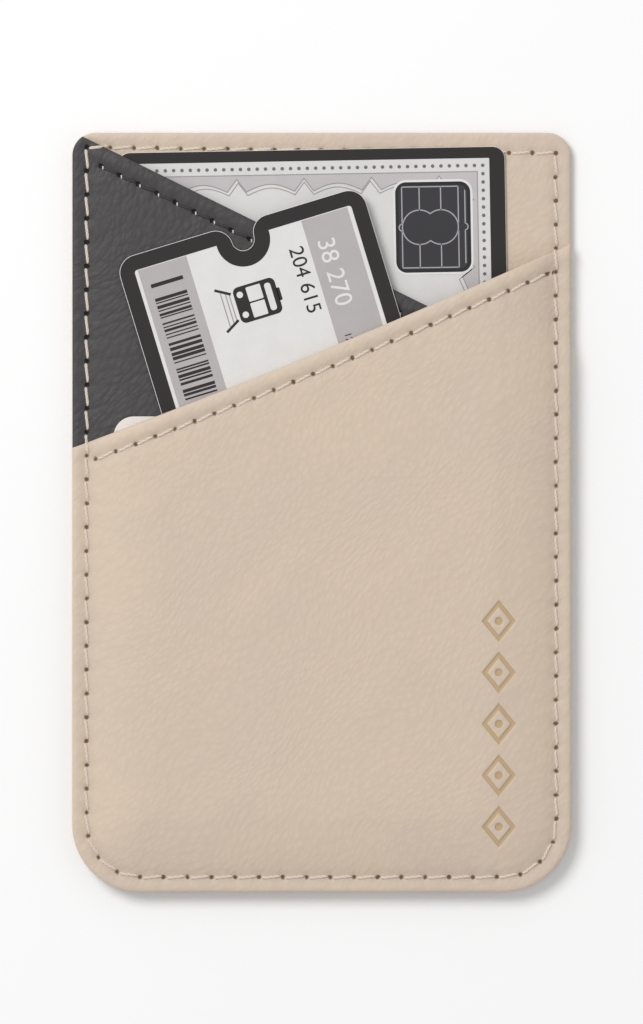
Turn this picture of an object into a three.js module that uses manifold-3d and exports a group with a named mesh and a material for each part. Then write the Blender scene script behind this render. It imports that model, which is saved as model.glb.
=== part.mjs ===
// A stick-on card pocket for the back of a phone, lying on its back as it comes to rest.
//
// It is three sheets of leatherette sewn together round the edge: a flat back panel, a dark inner panel
// whose mouth slopes down to the right, and a front panel whose mouth slopes up to the right. A bank card
// sits behind the inner panel, and a ticket and a stiffening card behind the front one. An adhesive pad
// with its release liner covers the back.
//
// Millimetres. X runs to the right and Y to the top as the pocket is seen from the front, and Z towards
// the viewer. The origin is at the middle of the outline, on the face of the liner.
import * as THREE from "three";
import Module from "manifold-3d";

// Cards that the pocket holds
const cardWidth = 50.5;
const cardHeight = 80;
const cardThickness = 0.4;
const cardCornerRadius = 1.6;
const cardTurn = 1.0; // degrees
const cardShift = -0.65; // to the left of the middle
const ticketWidth = 33.5;
const ticketHeight = 52;
const ticketThickness = 0.35;
const ticketCornerRadius = 2.4;
const ticketTurn = 16.9; // degrees
const ticketFromLeft = 5.6; // its upper left corner, from the pocket's left edge
const ticketFromTop = 16.75; // and from the pocket's top edge
const notchRadius = 1.45;
const notchDepth = 2.2; // from the ticket's edge to the notch's centre
const notchLipRadius = 2.3;
const stiffenerThickness = 0.25;
const stiffenerCornerRadius = 2.6;
const stiffenerShift = -1.85; // to the left of the middle
const stiffenerShows = 2.1; // how far its corner stands out of the front mouth
const stiffenerBottomRoom = 9;

// Room between the bank card and the pocket's edges
const cardSideRoom = 7.25;
const cardTopRoom = 2.2;
const cardBottomRoom = 16.8;

// Outline of the sewn pocket
const pocketWidth = cardWidth + 2 * cardSideRoom;
const pocketHeight = cardHeight + cardTopRoom + cardBottomRoom;
const topCornerRadius = 3;
const bottomCornerRadius = 8.8;

// Sheets
const linerThickness = 0.1;
const adhesiveThickness = 0.3;
const adhesiveInset = 4;
const backThickness = 1.0;
const innerThickness = 0.7;
const frontThickness = 0.8;
const edgeRounding = 0.25;
const noseFlat = 0.02; // upright stretch left in the middle of a rounded mouth edge
const sewnGap = 0.03; // between the front and the inner sheet in the seam

// Turned mouth edges: the sheet is folded back inside and glued
const turnedThickness = 0.3;
const turnedWidth = 7;
const turnedTaper = 0.3; // over which the fold's cut edge and its two ends thin out
const mouthBead = 0.15; // how far the fold stands proud of its sheet
const mouthBeadWidth = 2;
const mouthBeadFlat = 1.2; // from the mouth to where the bead starts to sink

// Mouths, measured down from the pocket's top edge
const frontMouthDropLeft = 41.15;
const frontMouthDropRight = 14.5;
const frontMouthSag = 0.7;
const innerMouthDropRight = 31.85;
const innerMouthStartAngle = 124; // degrees round the top left corner

// Ornament pressed into the front panel: a column of lozenges, each with a dot in its raised middle
const ornamentFromRight = 9.4;
const ornamentFromBottom = 21.9; // to its middle
const lozengeCount = 5;
const lozengeWidth = 4.4;
const lozengeHeight = 5.4;
const lozengeLine = 0.3; // share of the lozenge that is pressed in, from its outline inwards
const lozengePitch = 6.7;
const dotRadius = 0.5;
const pressDepth = 0.12;

// Seams
const seamInset = 1.9;
const topSeamDrop = 0.8; // how much lower the top seam ends at its right
const stitchPitch = 3.1;
const mouthSeamInset = 2.4;
const mouthStitchPitch = 2.75;
const mouthSeamEndGap = 1.2; // from a mouth seam's end to the edge seam
const threadRadius = 0.2;
const bobbinRadius = 0.15;
const stitchSlant = 0.11;
const stitchRise = 0.2; // share of a stitch in which the thread comes up out of its hole
const holeSqueeze = 0.45; // share of the thread's radius that shows where it goes into a hole
const threadGap = 0.03; // between a thread and what it lies in or under
const grooveHalfWidth = 0.34;

// Where the sheets leave the seam and rise over the cards
const riseStart = 2.9;
const riseEnd = 5.5;
const cardGap = 0.02;
const cardSeat = 0.005; // under the stiffening card

// Where the front panel steps down at the right, past the end of the inner one
const stepStart = 1.6;
const stepEnd = 5;

// Levels, from the liner's face up
const adhesiveBase = linerThickness;
const backBase = adhesiveBase + adhesiveThickness;
const backTop = backBase + backThickness;
const innerSeamBase = backTop;
const innerLift = cardThickness + cardGap + turnedThickness;
const frontSeamBase = innerSeamBase + innerThickness + sewnGap;
const innerRaisedTop = innerSeamBase + innerLift + innerThickness;
const ticketBase = innerRaisedTop + Math.max(stiffenerThickness, mouthBead) + cardGap;
const frontLift = ticketBase + ticketThickness + cardGap + turnedThickness - frontSeamBase;

// Mesh fineness
const cornerSegments = 6;
const panelCornerSegments = 10;
const threadSides = 5;
const bobbinSides = 4;
const mouthSamples = 12;
const leastCornerRadius = 1;
const cutReach = 3; // how far a cut goes past the surface

const halfWidth = pocketWidth / 2;
const halfHeight = pocketHeight / 2;

const colours = {
  beige: { color: 0xd6c3ae, roughness: 0.6, metalness: 0 },
  charcoal: { color: 0x4b4a4c, roughness: 0.62, metalness: 0 },
  cream: { color: 0xe6d8c4, roughness: 0.75, metalness: 0 },
  grey: { color: 0x5a595b, roughness: 0.75, metalness: 0 },
  card: { color: 0xd3d0ce, roughness: 0.4, metalness: 0 },
  ticket: { color: 0xe4e1de, roughness: 0.5, metalness: 0 },
  paper: { color: 0xece6dc, roughness: 0.6, metalness: 0 },
  adhesive: { color: 0xb9b3a6, roughness: 0.5, metalness: 0 },
};

const smoothStep = (low, high, value) => THREE.MathUtils.smoothstep(value, low, high);
const mix = (from, to, share) => from + (to - from) * share;

// Outline

// How far a point lies inside the pocket's outline
function insetFromEdge(x, y) {
  const radius = y < 0 ? bottomCornerRadius : topCornerRadius;
  const beyondX = Math.abs(x) - (halfWidth - radius);
  const beyondY = Math.abs(y) - (halfHeight - radius);
  const round = Math.hypot(Math.max(beyondX, 0), Math.max(beyondY, 0));
  return radius - round - Math.min(Math.max(beyondX, beyondY), 0);
}

// How far it lies inside the two sides and the bottom, where the pockets are sewn shut
function insetFromSides(x, y) {
  return y < 0 ? insetFromEdge(x, y) : halfWidth - Math.abs(x);
}

// A rounded rectangle, with its corners given from the upper left one clockwise
function roundedShape(left, right, bottom, top, [upperLeft, upperRight, lowerRight, lowerLeft]) {
  const shape = new THREE.Shape();
  shape.absarc(left + upperLeft, top - upperLeft, upperLeft, Math.PI, Math.PI / 2, true);
  shape.absarc(right - upperRight, top - upperRight, upperRight, Math.PI / 2, 0, true);
  shape.absarc(right - lowerRight, bottom + lowerRight, lowerRight, 0, -Math.PI / 2, true);
  shape.absarc(left + lowerLeft, bottom + lowerLeft, lowerLeft, -Math.PI / 2, -Math.PI, true);
  shape.closePath();
  return shape;
}

// The pocket's outline drawn in by an inset
function pocketShape(inset) {
  const top = Math.max(topCornerRadius - inset, leastCornerRadius);
  const bottom = Math.max(bottomCornerRadius - inset, leastCornerRadius);
  const radii = [top, top, bottom, bottom];
  return roundedShape(inset - halfWidth, halfWidth - inset, inset - halfHeight, halfHeight - inset, radii);
}

// Mouths

const frontMouth = {
  start: new THREE.Vector2(-halfWidth, halfHeight - frontMouthDropLeft),
  end: new THREE.Vector2(halfWidth, halfHeight - frontMouthDropRight),
  sag: frontMouthSag,
};
const innerMouth = {
  start: new THREE.Vector2(
    -halfWidth + topCornerRadius * (1 + Math.cos(THREE.MathUtils.degToRad(innerMouthStartAngle))),
    halfHeight + topCornerRadius * (Math.sin(THREE.MathUtils.degToRad(innerMouthStartAngle)) - 1),
  ),
  end: new THREE.Vector2(halfWidth, halfHeight - innerMouthDropRight),
  sag: 0,
};

// The mouth's height at x, with the slight sag that an open edge has between its ends
function mouthHeight(mouth, x) {
  const share = (x - mouth.start.x) / (mouth.end.x - mouth.start.x);
  return mix(mouth.start.y, mouth.end.y, share) - 4 * mouth.sag * share * (1 - share);
}

const mouthLean = (mouth) => mouth.end.clone().sub(mouth.start).normalize().x;

// How far a point lies below the mouth, square to it
function belowMouth(mouth, x, y) {
  return (mouthHeight(mouth, x) - y) * mouthLean(mouth);
}

// Surfaces

// How far the round edge of a sheet falls away at a distance from the edge
function edgeFall(radius, distance) {
  const inside = THREE.MathUtils.clamp(radius - distance, 0, radius);
  return radius - Math.sqrt(radius * radius - inside * inside);
}

// The front panel steps down past the inner panel's mouth, where only the back panel lies under its seam
function frontStepDown(x, y) {
  const pastInner = smoothStep(stepStart, stepEnd, -belowMouth(innerMouth, x, y));
  const inSeam = 1 - smoothStep(riseStart, riseEnd, insetFromSides(x, y));
  return (frontSeamBase - innerSeamBase) * pastInner * inSeam;
}

// A sewn panel: flat at the seam, raised over the cards, with a turned and rounded mouth
function panelSurfaces(mouth, thickness, seamBase, lift, stepDown, beadShare) {
  const noseRadius = (thickness - noseFlat) / 2;
  const base = (x, y) => {
    const rise = smoothStep(riseStart, riseEnd, insetFromSides(x, y));
    return seamBase + lift * rise - stepDown(x, y);
  };
  return {
    top(x, y) {
      const depth = belowMouth(mouth, x, y);
      const bead = mouthBead * beadShare(x, y) * (1 - smoothStep(mouthBeadFlat, mouthBeadWidth, depth));
      const fall = edgeFall(noseRadius, depth) + edgeFall(edgeRounding, insetFromEdge(x, y));
      return base(x, y) + thickness + bead - Math.min(fall, noseRadius);
    },
    bottom(x, y) {
      const depth = belowMouth(mouth, x, y);
      const inside = smoothStep(riseEnd, riseEnd + turnedTaper, insetFromSides(x, y));
      const fold = inside * (1 - smoothStep(turnedWidth - turnedTaper, turnedWidth, depth));
      return base(x, y) - turnedThickness * fold + edgeFall(noseRadius, depth);
    },
    covers: (x, y) => belowMouth(mouth, x, y) > 0,
  };
}

// The inner mouth's fold is pressed flat where the front panel is sewn over it, at the right
const pressedFlat = (x, y) => (x > 0 ? smoothStep(riseStart, riseEnd, insetFromSides(x, y)) : 1);
const level = () => 0;
const proud = () => 1;
const inner = panelSurfaces(innerMouth, innerThickness, innerSeamBase, innerLift, level, pressedFlat);
const front = panelSurfaces(frontMouth, frontThickness, frontSeamBase, frontLift, frontStepDown, proud);

// The height of whatever sheet shows at a point
function shownHeight(x, y) {
  if (front.covers(x, y)) return front.top(x, y);
  if (inner.covers(x, y)) return inner.top(x, y);
  return backTop;
}

// Solids

const wasm = await Module();
wasm.setup();

function toSolid(geometry) {
  const index = geometry.index.array;
  return new wasm.Manifold(
    new wasm.Mesh({
      numProp: 3,
      vertProperties: new Float32Array(geometry.attributes.position.array),
      triVerts: new Uint32Array(index),
    }),
  );
}

function toGeometry(solid) {
  const mesh = solid.getMesh();
  const positions = new Float32Array(mesh.numVert * 3);
  for (let i = 0; i < mesh.numVert; i++) {
    positions.set(mesh.vertProperties.subarray(i * mesh.numProp, i * mesh.numProp + 3), i * 3);
  }
  return indexedGeometry(positions, Array.from(mesh.triVerts));
}

function indexedGeometry(positions, triangles) {
  const geometry = new THREE.BufferGeometry();
  geometry.setAttribute("position", new THREE.Float32BufferAttribute(positions, 3));
  geometry.setIndex(triangles);
  geometry.computeVertexNormals();
  return geometry;
}

// A flat sheet cut to a shape
function flatSheet(shape, base, thickness, curveSegments = cornerSegments) {
  const geometry = new THREE.ExtrudeGeometry(shape, { depth: thickness, bevelEnabled: false, curveSegments });
  return geometry.translate(0, 0, base);
}

// The points of a four-sided patch, from the points along its four sides
function patchPoints(lower, upper, left, right) {
  const columns = lower.length - 1;
  const rows = left.length - 1;
  const rowShare = left.map((p, k) => {
    const along = (side) => (side[k].y - side[0].y) / (side[rows].y - side[0].y);
    return (along(left) + along(right)) / 2;
  });
  const columnShare = lower.map((p, j) => (p.x - lower[0].x) / (lower[columns].x - lower[0].x));
  return left.map((leftPoint, k) =>
    lower.map((lowerPoint, j) => {
      const a = columnShare[j];
      const b = rowShare[k];
      const blend = (axis) =>
        mix(lowerPoint[axis], upper[j][axis], b) +
        mix(leftPoint[axis], right[k][axis], a) -
        mix(mix(lower[0][axis], lower[columns][axis], a), mix(upper[0][axis], upper[columns][axis], a), b);
      return new THREE.Vector2(blend("x"), blend("y"));
    }),
  );
}

// A closed solid between two surfaces over a patch
function sheetOverPatch(points, top, bottom) {
  const rows = points.length;
  const columns = points[0].length;
  const positions = [];
  for (const surface of [top, bottom]) {
    for (const row of points) {
      for (const p of row) positions.push(p.x, p.y, surface(p.x, p.y));
    }
  }
  const under = rows * columns;
  const at = (k, j) => k * columns + j;
  const triangles = [];
  const quad = (a, b, c, d) => triangles.push(a, b, c, a, c, d);
  for (let k = 0; k < rows - 1; k++) {
    for (let j = 0; j < columns - 1; j++) {
      quad(at(k, j), at(k, j + 1), at(k + 1, j + 1), at(k + 1, j));
      quad(under + at(k, j), under + at(k + 1, j), under + at(k + 1, j + 1), under + at(k, j + 1));
    }
  }
  const rim = [];
  for (let j = 0; j < columns - 1; j++) rim.push(at(0, j));
  for (let k = 0; k < rows - 1; k++) rim.push(at(k, columns - 1));
  for (let j = columns - 1; j > 0; j--) rim.push(at(rows - 1, j));
  for (let k = rows - 1; k > 0; k--) rim.push(at(k, 0));
  rim.forEach((a, i) => {
    const b = rim[(i + 1) % rim.length];
    quad(b, a, under + a, under + b);
  });
  return indexedGeometry(positions, triangles);
}

// Points along a path at distances from its start and, after them, at distances from its end
function pointsAlong(path, fromStart, fromEnd) {
  const length = path.getLength();
  const distances = [...fromStart, ...fromEnd.map((d) => length - d).reverse()];
  return distances.map((d) => path.getPointAt(THREE.MathUtils.clamp(d / length, 0, 1)));
}

// Distances that are close together near an edge and wide apart away from it
const nearEdge = [0, edgeRounding / 2, edgeRounding, riseStart, mix(riseStart, riseEnd, 0.5), riseEnd];
const nearMouth = (lean) => {
  const depths = [0, 0.06, 0.2, 0.4, mouthBeadFlat, mouthBeadWidth, turnedWidth - turnedTaper, turnedWidth];
  return depths.map((d) => d / lean);
};

// The outline of a sewn panel as a four-sided patch, from the middle of each bottom corner to its mouth
function panelPatch(mouth, cornerAngle) {
  const cornerX = halfWidth - bottomCornerRadius;
  const cornerY = bottomCornerRadius - halfHeight;
  const quarter = Math.PI / 4;
  const left = new THREE.Path();
  left.absarc(-cornerX, cornerY, bottomCornerRadius, 5 * quarter, 4 * quarter, true);
  if (cornerAngle) {
    const startX = -halfWidth + topCornerRadius;
    const startY = halfHeight - topCornerRadius;
    left.absarc(startX, startY, topCornerRadius, Math.PI, THREE.MathUtils.degToRad(cornerAngle), true);
  } else {
    left.lineTo(mouth.start.x, mouth.start.y);
  }
  const right = new THREE.Path();
  right.absarc(cornerX, cornerY, bottomCornerRadius, -quarter, 0, false);
  right.lineTo(mouth.end.x, mouth.end.y);
  const lower = new THREE.Path();
  lower.absarc(-cornerX, cornerY, bottomCornerRadius, 5 * quarter, 6 * quarter, false);
  lower.absarc(cornerX, cornerY, bottomCornerRadius, -2 * quarter, -quarter, false);

  const across = [...nearEdge, 9, 15, 22];
  const lowerPoints = pointsAlong(lower, across, across);
  const span = lowerPoints[lowerPoints.length - 1].x - lowerPoints[0].x;
  const upperPoints = lowerPoints.map((p) => {
    const x = mix(mouth.start.x, mouth.end.x, (p.x - lowerPoints[0].x) / span);
    return new THREE.Vector2(x, mouthHeight(mouth, x));
  });
  const rowsFromBottom = [...nearEdge, 9, 16, 26];
  const rowsFromMouth = [...nearMouth(mouthLean(mouth)), 11, 13, 14.5, 16, 17.5, 19, 20.5, 22, 25];
  const leftPoints = pointsAlong(left, rowsFromBottom, rowsFromMouth);
  const rightPoints = pointsAlong(right, rowsFromBottom, rowsFromMouth);
  return patchPoints(lowerPoints, upperPoints, leftPoints, rightPoints);
}

// Seams

// Needle holes along a path, a whole number of stitches apart
function holesAlong(path, pitch) {
  return path.getSpacedPoints(Math.round(path.getLength() / pitch));
}

// The edge seam's holes: down the left side, round the bottom, up the right side and back along the top
function edgeSeamHoles() {
  const x = halfWidth - seamInset;
  const top = halfHeight - seamInset;
  const radius = bottomCornerRadius - seamInset;
  const sides = new THREE.Path();
  sides.moveTo(-x, top);
  sides.lineTo(-x, -top + radius);
  sides.absarc(-x + radius, -top + radius, radius, Math.PI, 1.5 * Math.PI, false);
  sides.absarc(x - radius, -top + radius, radius, 1.5 * Math.PI, 2 * Math.PI, false);
  sides.lineTo(x, top - topSeamDrop);
  const across = new THREE.LineCurve(new THREE.Vector2(x, top - topSeamDrop), new THREE.Vector2(-x, top));
  return [...holesAlong(sides, stitchPitch).slice(0, -1), ...holesAlong(across, stitchPitch).slice(0, -1)];
}

// A mouth seam's holes, alongside the mouth from one side of the edge seam to the other
function mouthSeamHoles(mouth) {
  const drop = mouthSeamInset / mouthLean(mouth);
  const reach = halfWidth - seamInset - mouthSeamEndGap;
  const start = Math.max(-reach, mouth.start.x + mouthSeamInset);
  const points = Array.from({ length: mouthSamples + 1 }, (_, i) => {
    const x = mix(start, reach, i / mouthSamples);
    return new THREE.Vector2(x, mouthHeight(mouth, x) - drop);
  });
  return holesAlong(new THREE.SplineCurve(points), mouthStitchPitch);
}

// Where the thread of a stitch comes up, is half way and goes down, and how far it lies off the seam there
const stitchPlaces = [
  { share: stitchRise, slant: -stitchSlant },
  { share: 0.5, slant: 0 },
  { share: 1 - stitchRise, slant: stitchSlant },
];

// The points that a thread goes through: each hole, and the places of the stitch after it
function seamPath(holes, closed, height) {
  const lay = (p) => new THREE.Vector3(p.x, p.y, height(p.x, p.y));
  const points = [];
  holes.forEach((hole, i) => {
    points.push(lay(hole));
    const next = holes[i + 1] ?? (closed ? holes[0] : undefined);
    if (!next) return;
    stitchPlaces.forEach(({ share }) => points.push(lay(hole.clone().lerp(next, share))));
  });
  return points;
}

// Which way is sideways at each point of a path
function sideways(points, closed) {
  const last = points.length - 1;
  return points.map((p, i) => {
    const before = points[i > 0 ? i - 1 : closed ? last : 0];
    const after = points[i < last ? i + 1 : closed ? 0 : last];
    return new THREE.Vector3(before.y - after.y, after.x - before.x, 0).normalize();
  });
}

// A solid through a row of rings, all with as many points, joined in a loop or capped at both ends
function solidThroughRings(rings, closed) {
  const sides = rings[0].length;
  const positions = rings.flat().flatMap((p) => [p.x, p.y, p.z]);
  const triangles = [];
  const joined = closed ? rings.length : rings.length - 1;
  for (let i = 0; i < joined; i++) {
    const here = i * sides;
    const next = ((i + 1) % rings.length) * sides;
    for (let k = 0; k < sides; k++) {
      const m = (k + 1) % sides;
      triangles.push(here + k, here + m, next + m, here + k, next + m, next + k);
    }
  }
  if (!closed) {
    const end = (rings.length - 1) * sides;
    for (let k = 1; k < sides - 1; k++) {
      triangles.push(0, k + 1, k, end, end + k, end + k + 1);
    }
  }
  return indexedGeometry(positions, triangles);
}

// One ring of a thread round a centre
function threadRing(centre, side, radius, sides) {
  return Array.from({ length: sides }, (_, k) => {
    const angle = Math.PI / 2 + (k * 2 * Math.PI) / sides;
    const rise = new THREE.Vector3(0, 0, Math.sin(angle) * radius);
    return centre.clone().addScaledVector(side, Math.cos(angle) * radius).add(rise);
  });
}

// One thread, thin and low where it goes into a hole, and slanting a little between two holes. The bobbin
// thread under the sheet is the same, turned over: it goes up into the holes.
function threadSolid(path, closed, radius, sides, upsideDown) {
  const across = sideways(path, closed);
  const dip = radius * (1 - holeSqueeze) * (upsideDown ? 1 : -1);
  const rings = path.map((point, i) => {
    const place = i % (stitchPlaces.length + 1);
    const centre = point.clone();
    if (place === 0) {
      centre.z += dip;
      return threadRing(centre, across[i], radius * holeSqueeze, sides);
    }
    centre.addScaledVector(across[i], stitchPlaces[place - 1].slant);
    return threadRing(centre, across[i], radius, sides);
  });
  return solidThroughRings(rings, closed);
}

// The groove that a thread pulls into the leatherette, open above, or below for the bobbin thread
function grooveSolid(path, closed, radius, upsideDown) {
  const across = sideways(path, closed);
  const room = radius + threadGap;
  const rings = path.map((p, i) => {
    const low = p.z - (upsideDown ? cutReach : room);
    const high = p.z + (upsideDown ? room : cutReach);
    const corner = (side, z) => p.clone().setZ(z).addScaledVector(across[i], side * grooveHalfWidth);
    return [corner(1, low), corner(1, high), corner(-1, high), corner(-1, low)];
  });
  return toSolid(solidThroughRings(rings, closed));
}

const threadDepth = threadRadius;
const edgeHoles = edgeSeamHoles();
const edgePath = seamPath(edgeHoles, true, (x, y) => shownHeight(x, y) - threadDepth);
const bobbinPath = seamPath(edgeHoles, true, () => backBase + bobbinRadius + threadGap);
const innerMouthPath = seamPath(mouthSeamHoles(innerMouth), false, (x, y) => inner.top(x, y) - threadDepth);
const frontMouthPath = seamPath(mouthSeamHoles(frontMouth), false, (x, y) => front.top(x, y) - threadDepth);

const edgeGroove = grooveSolid(edgePath, true, threadRadius, false);
const bobbinGroove = grooveSolid(bobbinPath, true, bobbinRadius, true);
const innerMouthGroove = grooveSolid(innerMouthPath, false, threadRadius, false);
const frontMouthGroove = grooveSolid(frontMouthPath, false, threadRadius, false);

// Pieces

function piece(name, geometry, finish) {
  const mesh = new THREE.Mesh(geometry, new THREE.MeshStandardMaterial(colours[finish]));
  mesh.name = name;
  return mesh;
}

function backPanel() {
  const sheet = closedSolid(flatSheet(pocketShape(0), backBase, backThickness, panelCornerSegments));
  return piece("back_panel", toGeometry(sheet.subtract(edgeGroove).subtract(bobbinGroove)), "beige");
}

// The solid of a geometry whose faces don't share their corners yet
function closedSolid(geometry) {
  const source = geometry.attributes.position;
  const seen = new Map();
  const positions = [];
  const triangles = [];
  for (let i = 0; i < source.count; i++) {
    const point = [source.getX(i), source.getY(i), source.getZ(i)];
    const key = point.map((c) => c.toFixed(4)).join();
    if (!seen.has(key)) {
      seen.set(key, positions.length / 3);
      positions.push(...point);
    }
    triangles.push(seen.get(key));
  }
  return toSolid(indexedGeometry(positions, triangles));
}

function innerPanel() {
  const sheet = sheetOverPatch(panelPatch(innerMouth, innerMouthStartAngle), inner.top, inner.bottom);
  const cut = toSolid(sheet).subtract(edgeGroove).subtract(innerMouthGroove);
  return piece("inner_pocket_panel", toGeometry(cut), "charcoal");
}

// The shapes that are pressed into the front panel
function ornamentShapes() {
  const x = halfWidth - ornamentFromRight;
  const middle = ornamentFromBottom - halfHeight;
  const diamond = (path, y, share) => {
    path.moveTo(x - (lozengeWidth / 2) * share, y);
    path.lineTo(x, y - (lozengeHeight / 2) * share);
    path.lineTo(x + (lozengeWidth / 2) * share, y);
    path.lineTo(x, y + (lozengeHeight / 2) * share);
    path.closePath();
    return path;
  };
  const shapes = [];
  for (let i = 0; i < lozengeCount; i++) {
    const y = middle + (i - (lozengeCount - 1) / 2) * lozengePitch;
    const lozenge = diamond(new THREE.Shape(), y, 1);
    lozenge.holes.push(diamond(new THREE.Path(), y, 1 - lozengeLine));
    shapes.push(lozenge, new THREE.Shape().absarc(x, y, dotRadius, 0, 2 * Math.PI, false));
  }
  return shapes;
}

function frontPanel() {
  const sheet = toSolid(sheetOverPatch(panelPatch(frontMouth), front.top, front.bottom));
  const pressedTo = frontSeamBase + frontLift + frontThickness - pressDepth;
  const pressed = ornamentShapes().map((shape) => closedSolid(flatSheet(shape, pressedTo, cutReach)));
  const cuts = [...pressed, edgeGroove, frontMouthGroove];
  const cut = cuts.reduce((solid, shape) => solid.subtract(shape), sheet);
  return piece("front_pocket_panel", toGeometry(cut), "beige");
}

function bankCard() {
  const radii = Array(4).fill(cardCornerRadius);
  const shape = roundedShape(-cardWidth / 2, cardWidth / 2, -cardHeight / 2, cardHeight / 2, radii);
  const mesh = piece("bank_card", flatSheet(shape, 0, cardThickness), "card");
  mesh.position.set(cardShift, halfHeight - cardTopRoom - cardHeight / 2, backTop);
  mesh.rotation.z = THREE.MathUtils.degToRad(cardTurn);
  return mesh;
}

// The ticket's outline from its upper left corner, with a round notch in the middle of its top edge
function ticketShape() {
  const r = ticketCornerRadius;
  const middle = ticketWidth / 2;
  const lip = notchLipRadius;
  const lipOffset = Math.sqrt((lip + notchRadius) ** 2 - (lip - notchDepth) ** 2);
  const meet = Math.atan2(lip - notchDepth, lipOffset);
  const shape = new THREE.Shape();
  shape.absarc(r, -r, r, Math.PI, Math.PI / 2, true);
  shape.absarc(middle - lipOffset, -lip, lip, Math.PI / 2, meet, true);
  shape.absarc(middle, -notchDepth, notchRadius, Math.PI + meet, 2 * Math.PI - meet, false);
  shape.absarc(middle + lipOffset, -lip, lip, Math.PI - meet, Math.PI / 2, true);
  shape.absarc(ticketWidth - r, -r, r, Math.PI / 2, 0, true);
  shape.absarc(ticketWidth - r, r - ticketHeight, r, 0, -Math.PI / 2, true);
  shape.absarc(r, r - ticketHeight, r, -Math.PI / 2, -Math.PI, true);
  shape.closePath();
  return shape;
}

function ticket() {
  const mesh = piece("paper_ticket", flatSheet(ticketShape(), 0, ticketThickness), "ticket");
  mesh.position.set(ticketFromLeft - halfWidth, halfHeight - ticketFromTop, ticketBase);
  mesh.rotation.z = THREE.MathUtils.degToRad(ticketTurn);
  return mesh;
}

function stiffener() {
  const left = stiffenerShift - cardWidth / 2;
  const top = mouthHeight(frontMouth, left) + stiffenerShows;
  const radii = Array(4).fill(stiffenerCornerRadius);
  const shape = roundedShape(left, left + cardWidth, stiffenerBottomRoom - halfHeight, top, radii);
  return piece("stiffening_card", flatSheet(shape, innerRaisedTop + cardSeat, stiffenerThickness), "paper");
}

function adhesivePad() {
  const sheet = flatSheet(pocketShape(adhesiveInset), adhesiveBase, adhesiveThickness);
  return piece("adhesive_pad", sheet, "adhesive");
}

function releaseLiner() {
  return piece("release_liner", flatSheet(pocketShape(adhesiveInset), 0, linerThickness), "paper");
}

const cardPocket = new THREE.Group();
cardPocket.add(
  releaseLiner(),
  adhesivePad(),
  backPanel(),
  bankCard(),
  innerPanel(),
  stiffener(),
  ticket(),
  frontPanel(),
  piece("edge_seam_thread", threadSolid(edgePath, true, threadRadius, threadSides, false), "cream"),
  piece("edge_seam_bobbin_thread", threadSolid(bobbinPath, true, bobbinRadius, bobbinSides, true), "cream"),
  piece("inner_mouth_thread", threadSolid(innerMouthPath, false, threadRadius, threadSides, false), "grey"),
  piece("front_mouth_thread", threadSolid(frontMouthPath, false, threadRadius, threadSides, false), "cream"),
);

export default cardPocket;
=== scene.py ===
"""Dresses a sewn card pocket: leatherette sheets, twisted thread, printed cards and the stage they lie on.

The pocket lies on its back. Lengths in the functions are millimetres, X to the right, Y to the pocket's
top and Z out of its front, and every mesh is written in metres.
"""

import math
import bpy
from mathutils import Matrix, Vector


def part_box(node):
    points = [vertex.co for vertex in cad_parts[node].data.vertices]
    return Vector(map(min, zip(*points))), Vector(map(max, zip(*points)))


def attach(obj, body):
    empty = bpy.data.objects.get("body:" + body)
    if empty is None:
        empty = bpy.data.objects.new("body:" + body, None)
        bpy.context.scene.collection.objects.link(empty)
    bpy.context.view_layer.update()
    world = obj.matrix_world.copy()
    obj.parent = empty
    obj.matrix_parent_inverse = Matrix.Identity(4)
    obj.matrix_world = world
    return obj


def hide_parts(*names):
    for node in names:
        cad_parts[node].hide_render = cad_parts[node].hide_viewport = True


bl_info = {
    "name": "Sewn card pocket",
    "version": (1, 0, 0),
    "blender": (4, 5, 0),
    "location": "3D View > Sidebar > Card pocket",
    "description": "Makes the leatherette, thread and print of a stick-on card pocket",
    "category": "Object",
}

import bpy
import numpy as np
from bpy.props import FloatProperty, FloatVectorProperty, IntProperty, PointerProperty
from mathutils import Matrix, Vector
from mathutils.geometry import delaunay_2d_cdt

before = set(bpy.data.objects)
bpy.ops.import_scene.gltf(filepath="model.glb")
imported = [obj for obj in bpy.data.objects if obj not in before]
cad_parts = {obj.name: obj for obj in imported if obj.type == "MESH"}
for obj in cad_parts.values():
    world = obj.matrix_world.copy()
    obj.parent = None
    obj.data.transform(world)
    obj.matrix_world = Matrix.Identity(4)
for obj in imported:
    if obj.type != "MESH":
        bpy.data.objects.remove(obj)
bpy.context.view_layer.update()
MM = 0.001


def node_box(node):
    """The lowest and highest corner of a CAD node, in millimetres."""
    low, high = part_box(node)
    return np.array(low) / MM, np.array(high) / MM


POCKET_LOW, POCKET_HIGH = node_box("back_panel")
HALF_WIDTH = float(POCKET_HIGH[0])
HALF_HEIGHT = float(POCKET_HIGH[1])
BACK_BASE = float(POCKET_LOW[2])
BACK_TOP = float(POCKET_HIGH[2])


# Sizes and colours


def length(name, default, description):
    """A size, given here in millimetres."""
    return FloatProperty(
        name=name, default=default * MM, description=description,
        unit="LENGTH", subtype="DISTANCE", precision=5,
    )


def angle(name, degrees, description):
    return FloatProperty(name=name, default=math.radians(degrees), description=description, subtype="ANGLE")


def colour(name, default, description):
    """A colour as it is seen, from 0 to 1 in sRGB."""
    return FloatVectorProperty(
        name=name, default=default, description=description, subtype="COLOR_GAMMA", size=3, min=0, max=1
    )


def seen(red, green, blue):
    """A colour given as it is read on a screen, from 0 to 255."""
    return (red / 255, green / 255, blue / 255)


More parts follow.
